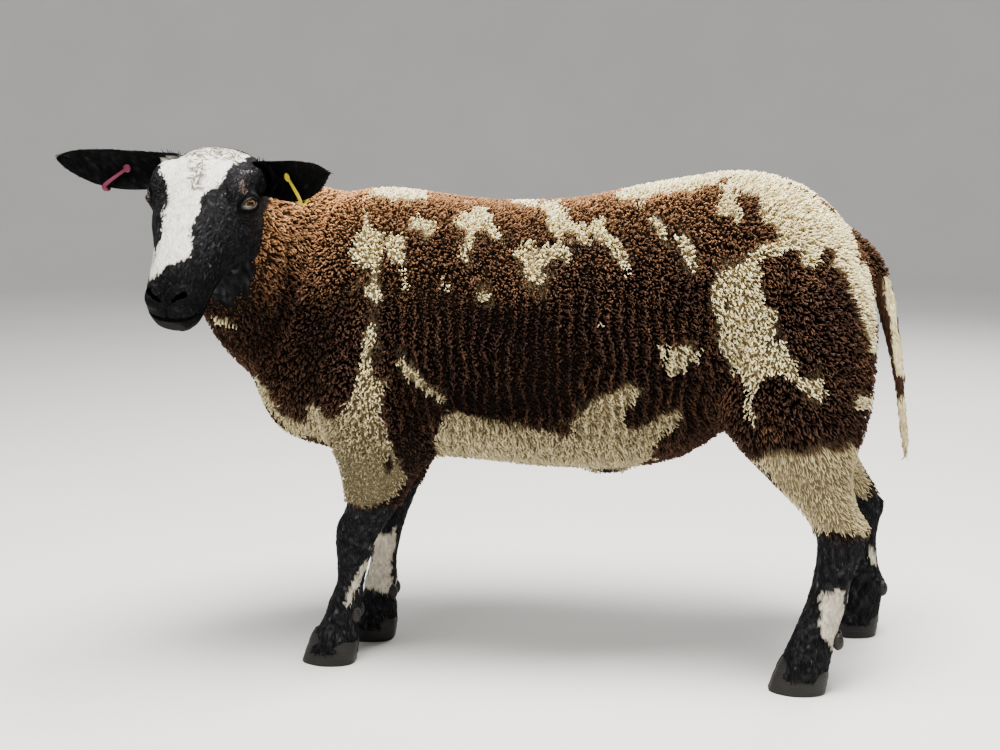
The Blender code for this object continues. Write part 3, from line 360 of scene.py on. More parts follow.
# Markings, as outlines in the pixels of the left view: pale wool on the dark fleece.
PALE_WOOL = {
    "withers": (
        (364, 200), (368, 192), (382, 184), (398, 181), (412, 184), (428, 189), (433, 196),
        (414, 197), (392, 197), (378, 195),
    ),
    "spine": ((510, 201), (518, 193), (530, 190), (541, 197), (540, 204)),
    "shoulder_patch": (
        (361, 205), (364, 222), (356, 232), (351, 246), (352, 262), (358, 268), (369, 268),
        (371, 281), (362, 289), (363, 299), (373, 303), (382, 304), (382, 294), (374, 284),
        (376, 268), (381, 262), (383, 250), (384, 234), (379, 228), (370, 224), (367, 210),
    ),
    "shoulder_spot": (
        (385, 234), (387, 256), (392, 263), (398, 265), (401, 280), (403, 292), (408, 292),
        (409, 284), (405, 270), (403, 258), (406, 246), (406, 234), (398, 231),
    ),
    "small_hook": (
        (410, 219), (414, 228), (421, 226), (428, 237), (434, 231), (439, 222), (433, 217),
        (426, 222), (422, 213), (414, 214),
    ),
    "arch": (
        (455, 220), (461, 227), (470, 227), (466, 240), (460, 248), (460, 257), (467, 260),
        (471, 248), (475, 236), (481, 227), (486, 230), (492, 237), (501, 237), (497, 224),
        (491, 209), (483, 204), (474, 207), (463, 209),
    ),
    "map": (
        (541, 202), (548, 214), (549, 222), (552, 230), (556, 238), (550, 245), (546, 239),
        (541, 247), (538, 245), (532, 236), (524, 239), (520, 247), (512, 250), (518, 258),
        (522, 265), (526, 275), (532, 284), (542, 286), (546, 277), (545, 266), (550, 261),
        (557, 258), (565, 258), (571, 264), (571, 252), (564, 244), (562, 238), (565, 230),
        (573, 230), (580, 237), (586, 245), (595, 246), (589, 238), (585, 231), (593, 232),
        (601, 239), (609, 247), (616, 257), (622, 267), (629, 276), (632, 272), (629, 260),
        (622, 247), (616, 235), (608, 228), (606, 217), (602, 212), (596, 215), (592, 222),
        (584, 221), (575, 219), (567, 215), (568, 207), (562, 201), (554, 199),
    ),
    "flank_fleck": (
        (649, 218), (655, 223), (659, 232), (662, 241), (668, 237), (665, 225), (657, 215),
    ),
    "flank_streak": (
        (675, 234), (677, 244), (683, 254), (689, 264), (695, 276), (698, 268), (695, 252),
        (691, 238), (684, 231),
    ),
    "speck_a": ((441, 279), (441, 290), (448, 293), (451, 282)),
    "speck_b": ((478, 293), (479, 302), (490, 306), (491, 295)),
    "speck_c": ((596, 324), (600, 333), (604, 326)),
    "speck_d": ((630, 200), (640, 205), (645, 199)),
    "topline": (
        (614, 195), (630, 198), (660, 192), (700, 186), (724, 179), (718, 166), (700, 168),
        (680, 173), (660, 178), (640, 181), (620, 184),
    ),
    "rump": (
        (714, 166), (720, 178), (722, 190), (718, 206), (714, 212), (724, 214), (734, 214),
        (740, 222), (743, 212), (738, 196), (737, 186), (744, 187), (752, 192), (762, 198),
        (763, 212), (766, 221), (776, 221), (782, 231), (781, 240), (770, 242), (760, 247),
        (752, 254), (744, 262), (730, 269), (719, 275), (714, 286), (713, 300), (716, 312),
        (718, 325), (722, 335), (718, 350), (727, 362), (732, 373), (740, 379), (745, 390),
        (742, 402), (741, 414), (748, 425), (755, 429), (753, 414), (751, 404), (755, 394),
        (760, 384), (767, 380), (775, 376), (785, 378), (797, 384), (800, 392), (812, 397),
        (822, 406), (829, 394), (827, 383), (816, 380), (804, 380), (798, 372), (799, 362),
        (791, 358), (788, 350), (790, 343), (782, 341), (774, 347), (771, 338), (777, 328),
        (777, 316), (768, 308), (766, 296), (760, 290), (762, 278), (764, 268), (757, 262),
        (764, 257), (778, 259), (784, 256), (794, 249), (803, 253), (806, 262), (812, 268),
        (822, 261), (829, 262), (838, 266), (846, 269), (852, 280), (858, 296), (862, 310),
        (866, 322), (871, 338), (874, 356), (884, 352), (888, 330), (882, 305), (872, 280),
        (862, 258), (856, 236), (845, 218), (824, 198), (802, 180), (775, 168), (750, 160),
        (735, 160),
    ),
    "buttock": ((862, 398), (858, 408), (862, 414), (872, 408), (872, 396)),
    "gaskin": (
        (750, 462), (764, 457), (782, 452), (806, 457), (824, 450), (846, 455), (852, 445),
        (868, 450), (868, 500), (872, 532), (860, 536), (846, 532), (820, 530), (806, 524),
        (790, 502), (774, 484), (760, 472),
    ),
    "flank_patch": (
        (660, 345), (676, 350), (692, 347), (703, 352), (700, 363), (690, 372), (680, 379),
        (663, 377), (666, 364), (659, 356),
    ),
    "belly": (
        (436, 438), (444, 424), (456, 415), (470, 422), (490, 428), (520, 431), (545, 436),
        (560, 442), (575, 441), (571, 430), (579, 420), (590, 410), (600, 401), (617, 398),
        (626, 390), (638, 390), (642, 400), (632, 409), (626, 420), (627, 430), (637, 434),
        (650, 430), (662, 424), (672, 417), (682, 415), (678, 430), (668, 440), (655, 452),
        (648, 478), (440, 478),
    ),
    "shoulder": (
        (369, 325), (374, 330), (373, 344), (369, 360), (373, 376), (381, 382), (387, 386),
        (381, 398), (380, 410), (385, 425), (389, 440), (391, 452), (397, 458), (401, 468),
        (408, 478), (402, 488), (396, 497), (384, 501), (372, 508), (356, 506), (340, 500),
        (330, 470), (328, 446), (304, 440), (286, 436), (270, 420), (252, 392), (250, 376),
        (258, 382), (268, 398), (280, 415), (294, 426), (307, 424), (305, 409), (314, 409),
        (321, 420), (329, 424), (337, 417), (343, 408), (350, 400), (354, 388), (358, 376),
        (358, 360), (363, 346), (365, 333),
    ),
    "elbow": (
        (397, 361), (404, 361), (411, 370), (419, 372), (421, 384), (431, 392), (443, 400),
        (450, 410), (441, 409), (428, 399), (416, 390), (408, 382), (400, 374),
    ),
    "throat": ((206, 320), (220, 325), (238, 327), (238, 330), (218, 329)),
}
DARK_SPOTS = {
    "rump_spot": ((825, 249), (832, 247), (841, 252), (839, 261), (830, 263), (824, 257)),
    "rump_fleck": ((725, 301), (729, 300), (732, 307), (730, 313), (725, 309)),
    "loin_nick": ((715, 182), (720, 175), (733, 171), (731, 178), (721, 183)),
    "leg_fleck": ((385, 462), (392, 460), (396, 468), (390, 475), (384, 470)),
}
DARK_TAIL = {
    "tail_root": (
        (848, 226), (866, 236), (882, 248), (889, 264), (884, 280), (887, 300), (893, 330),
        (894, 360), (895, 386), (885, 390), (876, 350), (868, 300), (860, 268), (850, 250),
    ),
    "tail_patch": ((893, 377), (901, 375), (909, 388), (905, 398), (895, 397)),
}
BLAZE = {
    "blaze": (
        (161, 163), (165, 158), (175, 157), (184, 155), (190, 150), (199, 145), (222, 145),
        (240, 149), (248, 156), (240, 161), (231, 163), (228, 169), (223, 179), (217, 188),
        (201, 194), (199, 205), (196, 216), (191, 224), (190, 234), (191, 256), (183, 258),
        (175, 261), (167, 264), (162, 269), (154, 276), (147, 282), (140, 284), (145, 276),
        (152, 262), (157, 247), (161, 231), (162, 218), (164, 208), (167, 198), (167, 187),
        (164, 179), (162, 169),
    ),
}
GREY_STREAK = {
    "streak": ((188, 160), (206, 158), (206, 176), (200, 194), (192, 190), (188, 174)),
    "poll": ((180, 147), (222, 143), (246, 152), (238, 162), (218, 158), (200, 157), (182, 157)),
}
# A painted highlight on the brow's bump, lighter than the black hair round it.
BROW_HIGHLIGHT = {
    "brow": ((238, 183), (246, 179), (255, 183), (255, 191), (248, 196), (240, 193)),
}
PALE_LEGS = {
    "fore_stripe": (
        (401, 515), (394, 530), (384, 547), (371, 567), (359, 585), (352, 598), (345, 606),
        (346, 594), (355, 578), (366, 561), (378, 542), (390, 525),
    ),
    "hind_patch": (
        (820, 596), (836, 590), (846, 593), (843, 602), (850, 615), (850, 621), (844, 629),
        (839, 639), (835, 646), (830, 644), (825, 635), (820, 625), (823, 615), (819, 607),
    ),
}
PALE_FAR_LEGS = {
    "fore_patch": (
        (374, 538), (396, 530), (394, 548), (391, 560), (393, 578), (397, 596), (388, 592),
        (372, 588), (360, 586), (368, 570), (372, 554),
    ),
    "hind_patch": ((869, 546), (877, 548), (877, 564), (869, 562)),
}

# Colours of the wool and hair, each at the root and at the tip.
# The roots are darker than the tips: painted shade deep in the coat.
DARK_ROOT = np.array((0.0040, 0.0020, 0.0012))
DARK_TIP = np.array((0.066, 0.0335, 0.0215))
GINGER_TIP = np.array((0.580, 0.290, 0.125))
PALE_ROOT = np.array((0.62, 0.49, 0.26))
PALE_TIP = np.array((0.88, 0.75, 0.44))
BLACK_ROOT = np.array((0.0010, 0.0010, 0.0011))
BLACK_TIP = np.array((0.0096, 0.0096, 0.0108))
STREAK_TIP = np.array((0.130, 0.112, 0.094))
GREY_TIP = np.array((0.070, 0.068, 0.070))
# The tips of the painted highlight on the brow.
BROW_HIGHLIGHT_TIP = np.array((0.085, 0.062, 0.058))
WHITE_ROOT = np.array((0.34, 0.31, 0.26))
WHITE_TIP = np.array((0.82, 0.79, 0.71))
LEG_WHITE_TIP = np.array((0.46, 0.41, 0.32))
MOST_LIGHT = 0.88

# Materials with fine noise: colour, or none for the painted coat, roughness, specular level, the
# noise's scale, the darkest and lightest level it gives, and the strength and depth of the bump.
GRAINS = {
    "skin_hair": (None, 0.60, 0.03, 900.0, 0.65, 1.35, 0.7, 0.0008),
    "wool": (None, 0.85, 0.06, 900.0, 0.80, 1.20, 0.6, 0.0006),
    "short_hair": (None, 0.50, 0.05, 900.0, 0.80, 1.20, 0.3, 0.0006),
    "lid_rim": ((0.004, 0.0036, 0.004, 1), 0.45, 0.2, 600.0, 0.8, 1.2, 0.3, 0.0005),
    "tag_yellow": ((0.56, 0.43, 0.015, 1), 0.38, 0.5, 300.0, 0.92, 1.08, 0.15, 0.0005),
    "tag_red": ((0.115, 0.010, 0.034, 1), 0.42, 0.3, 300.0, 0.9, 1.1, 0.15, 0.0005),
    "floor_pale": ((0.70, 0.695, 0.68, 1), 0.9, 0.5, 2.0, 0.98, 1.02, 0.05, 0.0005),
}

# Stops of the iris, from its middle to its edge, and of the horn's rings.
IRIS = ((0.0, (0.060, 0.030, 0.010)), (0.30, (0.105, 0.058, 0.020)),
        (0.50, (0.150, 0.092, 0.036)), (0.62, (0.070, 0.040, 0.016)),
        (0.70, (0.008, 0.006, 0.005)), (1.0, (0.010, 0.007, 0.005)))
HORN = ((0.0, (0.0040, 0.0037, 0.0035)), (1.0, (0.0130, 0.0110, 0.0095)))
PUPIL = (0.42, 0.20)

# Tags: ear, places along it where the strip starts and ends, and how high it starts.
TAGS = {"tag_red": ("right", 0.40, 0.57, 0.05), "tag_yellow": ("left", 0.36, 0.55, 0.15)}

# Lights: place, the point they face, size, power and colour.
LIGHTS = {
    "key": ((0.3, -0.6, 3.3), (0.0, 0.0, 0.5), (2.0, 1.6), 480.0, (1.0, 0.97, 0.92)),
    "front": ((-2.2, -3.0, 1.9), (-0.2, 0.0, 0.5), (1.8, 1.4), 45.0, (1.0, 0.99, 0.97)),
    "back": ((1.5, 3.0, 2.6), (0.2, 0.0, 0.6), (1.8, 1.6), 110.0, (1.0, 0.98, 0.95)),
}
# The floor: radius of its level part, radius of the sweep, height of the rim, sides and steps.
FLOOR_RADIUS = 6.0
FLOOR_SWEEP = 3.0
FLOOR_TOP = 5.0
FLOOR_SIDES = 96
FLOOR_STEPS = 12

# The steps from a cell to itself and its neighbours, and the numbers that scatter cells' middles.
NEIGHBOURS = [(i, j, k) for i in (-1, 0, 1) for j in (-1, 0, 1) for k in (-1, 0, 1)]
CELL_MIX = np.array((12.9898, 78.233, 37.719))
CELL_SCATTER = 43758.5453

FLESH_NODES = ["torso", "neck", "head", "tail", "ear_left", "ear_right"]
FLESH_NODES += [part + "_leg_" + leg for part in ("upper", "lower") for leg in LEGS]


def unit(vector):
    return Vector(vector).normalized()


def unit_rows(rows):
    return rows / np.maximum(np.linalg.norm(rows, axis=1, keepdims=True), 1e-9)


def signed_power(value, power):
    """A power of a number's size that keeps its sign."""
    return math.copysign(abs(value) ** power, value)


def angles(count):
    """Evenly spaced angles of one full turn."""
    return [2 * math.pi * index / count for index in range(count)]


def turn_to(*ways):
    """The turn that takes X, Y and Z to three given ways."""
    return Matrix(ways).transposed()


def read_rows(items, key, width, kind=np.float32):
    """One property of all items of a mesh, one row for each."""
    flat = np.empty(len(items) * width, kind)
    items.foreach_get(key, flat)
    return flat.reshape(-1, width)


def write_rows(items, key, rows, kind=np.float32):
    items.foreach_set(key, np.asarray(rows, kind).ravel())


def paint(mesh, colours):
    """Keep a colour for each point of a mesh."""
    layer = mesh.color_attributes.new("coat", "FLOAT_COLOR", "POINT")
    write_rows(layer.data, "color", np.insert(colours, 3, 1.0, axis=1))


def keep_vectors(mesh, name, vectors):
    """Keep a vector for each point of a mesh."""
    write_rows(mesh.attributes.new(name, "FLOAT_VECTOR", "POINT").data, "vector", vectors)


def add_object(name, data):
    thing = bpy.data.objects.new(name, data)
    bpy.context.scene.collection.objects.link(thing)
    return thing


def make_object(name, shape):
    if shape.calc_volume(signed=True) < 0:
        bmesh.ops.reverse_faces(shape, faces=shape.faces)
    mesh = bpy.data.meshes.new(name)
    shape.to_mesh(mesh)
    shape.free()
    return add_object(name, mesh)


def drop(thing):
    mesh = thing.data
    bpy.data.objects.remove(thing, do_unlink=True)
    bpy.data.meshes.remove(mesh)


def bake_modifiers(thing):
    bpy.context.view_layer.update()
    graph = bpy.context.evaluated_depsgraph_get()
    mesh = bpy.data.meshes.new_from_object(thing.evaluated_get(graph))
    old = thing.data
    thing.modifiers.clear()
    thing.data = mesh
    bpy.data.meshes.remove(old)


def boolean(thing, other, operation):
    """Fuse, cut or intersect one closed mesh with another and drop the other."""
    step = thing.modifiers.new(operation.lower(), "BOOLEAN")
    step.operation = operation
    step.solver = "MANIFOLD"
    step.object = other
    bake_modifiers(thing)
    drop(other)


def melt(thing, voxel, smoothing, share=1.0):
    """Fuse overlapping closed forms into one soft skin and keep a share of its faces."""
    fuse = thing.modifiers.new("fuse", "REMESH")
    fuse.mode = "VOXEL"
    fuse.voxel_size = voxel
    soften = thing.modifiers.new("soften", "SMOOTH")
    soften.factor = 0.5
    soften.iterations = smoothing
    bake_modifiers(thing)
    if share < 1.0:
        thin = thing.modifiers.new("thin", "DECIMATE")
        thin.ratio = share
        bake_modifiers(thing)


def curve_rows(rows, steps):
    """Add rows between the given ones along a smooth curve through them."""
    table = np.array(rows, float)
    padded = np.vstack([2 * table[0] - table[1], table, 2 * table[-1] - table[-2]])
    smooth = []
    for index in range(1, len(table)):
        a, b, c, d = padded[index - 1:index + 3]
        for step in range(steps):
            t = step / steps
            smooth.append(0.5 * (2 * b + (c - a) * t + (2 * a - 5 * b + 4 * c - d) * t * t
                                 + (3 * b - a - 3 * c + d) * t ** 3))
    smooth.append(table[-1])
    return smooth


def oval(centre, side, up, half_width, rise, fall, squareness=2.0, count=24):
    """A ring of points round a centre, wide along side, with its own reach up and down."""
    points = []
    for angle in angles(count):
        across = signed_power(math.cos(angle), 2 / squareness)
        along = signed_power(math.sin(angle), 2 / squareness)
        reach = rise if along > 0 else fall
        points.append(Vector(centre) + side * half_width * across + up * reach * along)
    return points


def loft(name, rings, endless=False):
    """Skin rings of points of one count, and close both ends or join the last ring to the first."""
    shape = bmesh.new()
    loops = [[shape.verts.new(point) for point in ring] for ring in rings]
    count = len(loops[0])
    onward = loops[1:] + loops[:1] if endless else loops[1:]
    for first, second in zip(loops, onward):
        for index in range(count):
            after = (index + 1) % count
            shape.faces.new((first[index], first[after], second[after], second[index]))
    if not endless:
        shape.faces.new(loops[0][::-1])
        shape.faces.new(loops[-1])
    bmesh.ops.recalc_face_normals(shape, faces=shape.faces)
    return make_object(name, shape)


def ball(name, centre, sizes, turn=None, detail=2):
    """An ellipsoid with its own half sizes, turned by a rotation matrix."""
    shape = bmesh.new()
    bmesh.ops.create_icosphere(shape, subdivisions=detail, radius=1.0)
    shape.transform(Matrix.Diagonal(Vector(sizes)).to_4x4())
    if turn is not None:
        shape.transform(turn.to_4x4())
    shape.transform(Matrix.Translation(Vector(centre)))
    return make_object(name, shape)


def join(name, things):
    shape = bmesh.new()
    for thing in things:
        shape.from_mesh(thing.data)
        drop(thing)
    return make_object(name, shape)


def trunk_form(inset):
    rings = []
    for x, top, bottom, half_width in curve_rows(TRUNK, 3):
        depth = min(inset, 0.45 * half_width)
        middle = 0.5 * (top + bottom)
        reach = 0.5 * (top - bottom) - depth
        rings.append(oval((x, 0, middle), Vector((0, 1, 0)), Vector((0, 0, 1)),
                          half_width - depth, reach, reach, TRUNK_SQUARENESS))
    ends = (rings[0], rings[-1])
    for ring, push in zip(ends, (inset, -inset)):
        for point in ring:
            point.x += push
    return loft("trunk", rings)


def neck_form(inset):
    rings = []
    for x, y, z, turn, rise, half_width, reach_up, reach_down in curve_rows(NECK, 3):
        turn = math.radians(turn)
        rise = math.radians(rise)
        side = Vector((-math.sin(turn), math.cos(turn), 0))
        up = Vector((math.sin(rise) * math.cos(turn), math.sin(rise) * math.sin(turn),
                     math.cos(rise)))
        rings.append(oval((x, y, z), side, up, half_width - inset, reach_up - inset,
                          reach_down - inset))
    return loft("neck", rings)


def leg_wool(height):
    """The share of the coat's depth at a height on a leg, from none to full."""
    share = (height - LEG_WOOL[1]) / (LEG_WOOL[0] - LEG_WOOL[1])
    return min(1.0, max(0.0, share))


def leg_form(name, inset):
    rings = []
    for z, x, y, half_length, half_width in curve_rows(LEGS[name], 3):
        depth = inset * leg_wool(z)
        rings.append(oval((x, y, z), Vector((0, 1, 0)), Vector((1, 0, 0)),
                          half_width - depth, half_length - depth, half_length - depth, 2.1, 16))
    return loft(name, rings)


def tail_form(share):
    rings = []
    for z, x, half_length, half_width in curve_rows(TAIL, 2):
        depth = min(TAIL_WOOL, 0.4 * half_width) * (1 - share)
        reach = half_length - depth
        rings.append(oval((x, 0, z), Vector((0, 1, 0)), Vector((1, 0, 0)),
                          half_width - depth, reach, reach, 2.0, 12))
    return loft("tail_form", rings)


def head_axes():
    """The directions down the face, out of the face and to the animal's left."""
    heading = Vector((-math.cos(HEAD_TURN), -math.sin(HEAD_TURN), 0))
    left = Vector((-heading.y, heading.x, 0))
    up = Vector((0, 0, 1))
    down_face = heading * math.cos(FACE_FALL) - up * math.sin(FACE_FALL)
    out = heading * math.sin(FACE_FALL) + up * math.cos(FACE_FALL)
    tilted_left = left * math.cos(HEAD_ROLL) - out * math.sin(HEAD_ROLL)
    tilted_out = out * math.cos(HEAD_ROLL) + left * math.sin(HEAD_ROLL)
    return down_face, tilted_out, tilted_left


FACE, OUT, LEFT = head_axes()
HEAD_FRAME = turn_to(FACE, OUT, LEFT)


def on_head(along, out, across):
    return BROW + FACE * along + OUT * out + LEFT * across


def gaze_axes(side):
    """The long way of an eye's slit, the way up across it and the way the eye looks."""
    level = unit((FACE.x, FACE.y, 0))
    up = Vector((0, 0, 1))
    gaze = unit(LEFT * side * 0.85 + level * 0.50 + up * 0.12)
    slit_way = level * math.cos(EYE_TILT) - up * math.sin(EYE_TILT)
    long_way = unit(slit_way - gaze * slit_way.dot(gaze))
    return long_way, gaze.cross(long_way) * -side, gaze


def head_form():
    rings = []
    for along, top, bottom, half_width in curve_rows(HEAD, 3):
        middle = 0.5 * (top + bottom)
        reach = 0.5 * (top - bottom)
        rings.append(oval(on_head(along, middle, 0), LEFT, OUT, half_width, reach, reach,
                          HEAD_SQUARENESS))
    pieces = [loft("head_form", rings)]
    for along, out, across, *sizes in HEAD_SWELLS:
        for side in SIDES.values():
            pieces.append(ball("swell", on_head(along, out, side * across), sizes, HEAD_FRAME))
    for side in SIDES.values():
        pieces.append(ball("skirt", eye_centre(side), LID_SKIRT, turn_to(*gaze_axes(side))))
    pieces.append(ball("chin", on_head(*CHIN[:3]), CHIN[3:], HEAD_FRAME))
    return join("head_form", pieces)


def ear_axes(name):
    """The directions along an ear, up across it and out of its cup."""
    side = SIDES[name]
    heading = unit((FACE.x, FACE.y, 0))
    sweep = EAR_SWEEP[name]
    rise = EAR_RISE[name]
    level = LEFT * side * math.cos(sweep) - heading * math.sin(sweep)
    along = unit(level * math.cos(rise) + Vector((0, 0, 1)) * math.sin(rise))
    cup = unit(heading - along * heading.dot(along) + Vector((0, 0, -0.15)))
    up = unit(along.cross(cup)) * side
    if up.z < 0:
        up = -up
    return along, up, unit(cup - up * cup.dot(up))


def ear_root(name):
    along, out, across = EAR_ROOT
    return on_head(along, out, SIDES[name] * across)


def ear_point(name, along_share, across_share, back):
    """A point of an ear's front face, or of its back face where back is 1."""
    along, up, cup = ear_axes(name)
    u = along_share
    swell = 0.30 + 0.70 * signed_power(u, EAR_BLUNTNESS)
    swell = math.sin(math.pi * min(1.0, max(0.0, swell))) ** 0.62
    half_height = EAR_HALF_HEIGHT * max(0.06, swell)
    curl = EAR_CUP * (1.0 - 0.85 * max(0.0, u)) * (1 - across_share ** 2)
    lower = EAR_DROOP * math.sin(math.pi * max(0.0, u))
    point = ear_root(name) + along * EAR_LENGTH * u
    point = point + up * (half_height * across_share - lower) - cup * curl
    thickness = EAR_THICKNESS * (1 - 0.45 * abs(across_share)) * (1 - 0.35 * max(0.0, u))
    return point - cup * thickness * back


def grid_shell(name, front, rear):
    """Close two matching grids of points into one thin shell."""
    shape = bmesh.new()
    sheets = [[[shape.verts.new(point) for point in row] for row in grid] for grid in (front, rear)]
    near, far = sheets
    rows = len(near)
    columns = len(near[0])
    for i in range(rows - 1):
        for j in range(columns - 1):
            shape.faces.new((near[i][j], near[i + 1][j], near[i + 1][j + 1], near[i][j + 1]))
            shape.faces.new((far[i][j], far[i][j + 1], far[i + 1][j + 1], far[i + 1][j]))
    for i in range(rows - 1):
        shape.faces.new((near[i][0], far[i][0], far[i + 1][0], near[i + 1][0]))
        shape.faces.new((near[i][-1], near[i + 1][-1], far[i + 1][-1], far[i][-1]))
    for j in range(columns - 1):
        shape.faces.new((near[0][j], near[0][j + 1], far[0][j + 1], far[0][j]))
        shape.faces.new((near[-1][j], far[-1][j], far[-1][j + 1], near[-1][j + 1]))
    bmesh.ops.recalc_face_normals(shape, faces=shape.faces)
    return make_object(name, shape)


def ear_skin(name):
    """A leaf-shaped cup with a rolled rim whose root lies inside the head."""
    lengths = np.linspace(-0.10, 1.0, 40)
    heights = np.sin(np.linspace(-0.5, 0.5, 17) * math.pi)
    front = [[ear_point(name, u, v, 0) for v in heights] for u in lengths]
    rear = [[ear_point(name, u, v, 1) for v in heights] for u in lengths]
    return grid_shell("ear_skin_" + name, front, rear)


def eye_centre(side):
    along, out, across = EYE_PLACE
    return on_head(along, out, side * across)


def lid_arc(rise):
    """How far a lid's curve is sunk behind the slit's long line, and its reach along that line."""
    sink = LID_CURVE - rise
    return sink, EYE_HALF_LENGTH / math.sqrt(1 - (sink / LID_CURVE) ** 2)


def lid_edge(u, rise):
    """How far a lid's edge stands from the slit's long line, where it rises so far at its middle."""
    sink, reach = lid_arc(rise)
    return LID_CURVE * math.sqrt(max(0.0, 1 - (u / reach) ** 2)) - sink


def slit_form(side):
    """The almond between the lids: what two ellipsoids, one low and one high, have in common."""
    long_way, short_way, gaze = gaze_axes(side)
    turn = turn_to(long_way, short_way, gaze)
    middle = eye_centre(side) + gaze * EYE_RADIUS
    halves = []
    for rise, way in zip(LID_RISES, (1, -1)):
        sink, reach = lid_arc(rise)
        halves.append(ball("slit", middle - short_way * (sink * way),
                           (reach, LID_CURVE, EYE_RADIUS), turn, 5))
    boolean(halves[0], halves[1], "INTERSECT")
    return halves[0]


def cut_eyes(head):
    """Hollow each socket and open the almond between the lids."""
    for side in SIDES.values():
        socket = ball("socket", eye_centre(side), [EYE_RADIUS + SOCKET_GAP] * 3, detail=5)
        boolean(head, socket, "DIFFERENCE")
        boolean(head, slit_form(side), "DIFFERENCE")


def nostrils():
    """Each nostril's middle, the ways along its slit, up across it and out, and its turn."""
    outward = OUT * math.cos(NOSE_SLOPE) + FACE * math.sin(NOSE_SLOPE)
    up_nose = OUT * math.sin(NOSE_SLOPE) - FACE * math.cos(NOSE_SLOPE)
    along, out, across = NOSTRIL_PLACE
    for side in SIDES.values():
        slant = LEFT * side * math.cos(NOSTRIL_SLANT) + up_nose * math.sin(NOSTRIL_SLANT)
        crosswise = outward.cross(slant)
        turn = turn_to(slant, crosswise, outward)
        yield on_head(along, out, side * across), slant, crosswise * side, outward, turn


def fold_nose(head):
    """Raise the folds above and below each nostril."""
    across, along, behind = FOLD_OFFSET
    for centre, slant, upward, outward, turn in nostrils():
        for way, sizes in zip((1, -1), FOLD_SIZES):
            fold = centre + upward * (across * way) + slant * (along * way)
            boolean(head, ball("fold", fold - outward * behind, sizes, turn, 4), "UNION")


def cut_nose(head):
    """Open the slanting nostrils, each with a rounder hole at its upper end, and the groove."""
    along, across = HOLE_OFFSET
    for centre, slant, upward, _, turn in nostrils():
        boolean(head, ball("nostril", centre, NOSTRIL_SIZE, turn, 4), "DIFFERENCE")
        hole = centre + slant * along - upward * across
        boolean(head, ball("hole", hole, HOLE_SIZE, turn, 4), "DIFFERENCE")
    lean = turn_to(OUT * math.cos(NOSE_SLOPE) - FACE * math.sin(NOSE_SLOPE), LEFT,
                   FACE * math.cos(NOSE_SLOPE) + OUT * math.sin(NOSE_SLOPE))
    boolean(head, ball("groove", on_head(*GROOVE_PLACE), GROOVE_SIZE, lean, 4), "DIFFERENCE")


def cut_mouth(head):
    """Cut the line of the mouth round the muzzle as a shallow wedge that follows its surface."""
    tree = BVHTree.FromObject(head, bpy.context.evaluated_depsgraph_get())
    centre = on_head(MOUTH_CENTRE[0], MOUTH_CENTRE[1], 0)
    forward = FACE * math.cos(MOUTH_TILT) + OUT * math.sin(MOUTH_TILT)
    upward = OUT * math.cos(MOUTH_TILT) - FACE * math.sin(MOUTH_TILT)
    rings = []
    for index in range(MOUTH_STEPS + 1):
        swing = MOUTH_SWING * (2 * index / MOUTH_STEPS - 1)
        way = forward * math.cos(swing) + LEFT * math.sin(swing)
        surface = tree.ray_cast(centre + way * 0.12, -way)[0]
        fade = max(0.25, math.cos(0.5 * math.pi * abs(swing) / MOUTH_SWING) ** 0.5)
        dip = upward * (-0.0018 * math.cos(2.0 * swing))
        inner = surface - way * MOUTH_DEPTH * fade + dip
        outer = surface + way * 0.006 + dip
        lift = upward * MOUTH_WIDTH
        rings.append([inner + lift * 0.15, outer + lift, outer - lift, inner - lift * 0.15])
    boolean(head, loft("mouth", rings), "DIFFERENCE")


def head_skin():
    head = head_form()
    melt(head, HEAD_VOXEL, 12)
    fold_nose(head)
    cut_nose(head)
    cut_mouth(head)
    for side in SIDES.values():
        lid = ball("lid", eye_centre(side), [EYE_RADIUS + LID_THICKNESS] * 3, detail=5)
        boolean(head, lid, "UNION")
    melt(head, 0.75 * HEAD_VOXEL, 2, 0.42)
    shrink = head.modifiers.new("shrink", "DISPLACE")
    shrink.strength = -FACE_SHRINK
    shrink.mid_level = 0.0
    bake_modifiers(head)
    cut_eyes(head)
    return head


def body_forms(inset, tail_share):
    forms = [trunk_form(inset), neck_form(inset), tail_form(tail_share)]
    forms += [leg_form(name, inset) for name in LEGS]
    forms += [ball("bump", centre, sizes) for centre, sizes in BUMPS]
    return join("forms", forms)


def skin_surface():
    """The whole animal's skin as one closed surface."""
    skin = body_forms(SKIN_DEPTH, 0.0)
    melt(skin, BODY_VOXEL, 4, 0.42)
    boolean(skin, head_skin(), "UNION")
    for name in SIDES:
        boolean(skin, ear_skin(name), "UNION")
    skin.name = "sheep_skin"
    skin.data.name = "sheep_skin"
    return skin


def outer_tree():
    """The surface through the wool's tips, to measure the coat's depth against."""
    outer = body_forms(0.0, 1.0)
    melt(outer, OUTER_VOXEL, 5)
    tree = BVHTree.FromObject(outer, bpy.context.evaluated_depsgraph_get())
    drop(outer)
    return tree


def unwrap(thing):
    """Lay a mesh out flat by its own shape in the map OFBake."""
    bpy.context.view_layer.objects.active = thing
    thing.select_set(True)
    bpy.ops.object.mode_set(mode="EDIT")
    bpy.ops.mesh.select_all(action="SELECT")
    bpy.ops.uv.smart_project(angle_limit=math.radians(66), island_margin=0.001)
    bpy.ops.object.mode_set(mode="OBJECT")
    thing.select_set(False)
    thing.data.uv_layers[0].name = "OFBake"


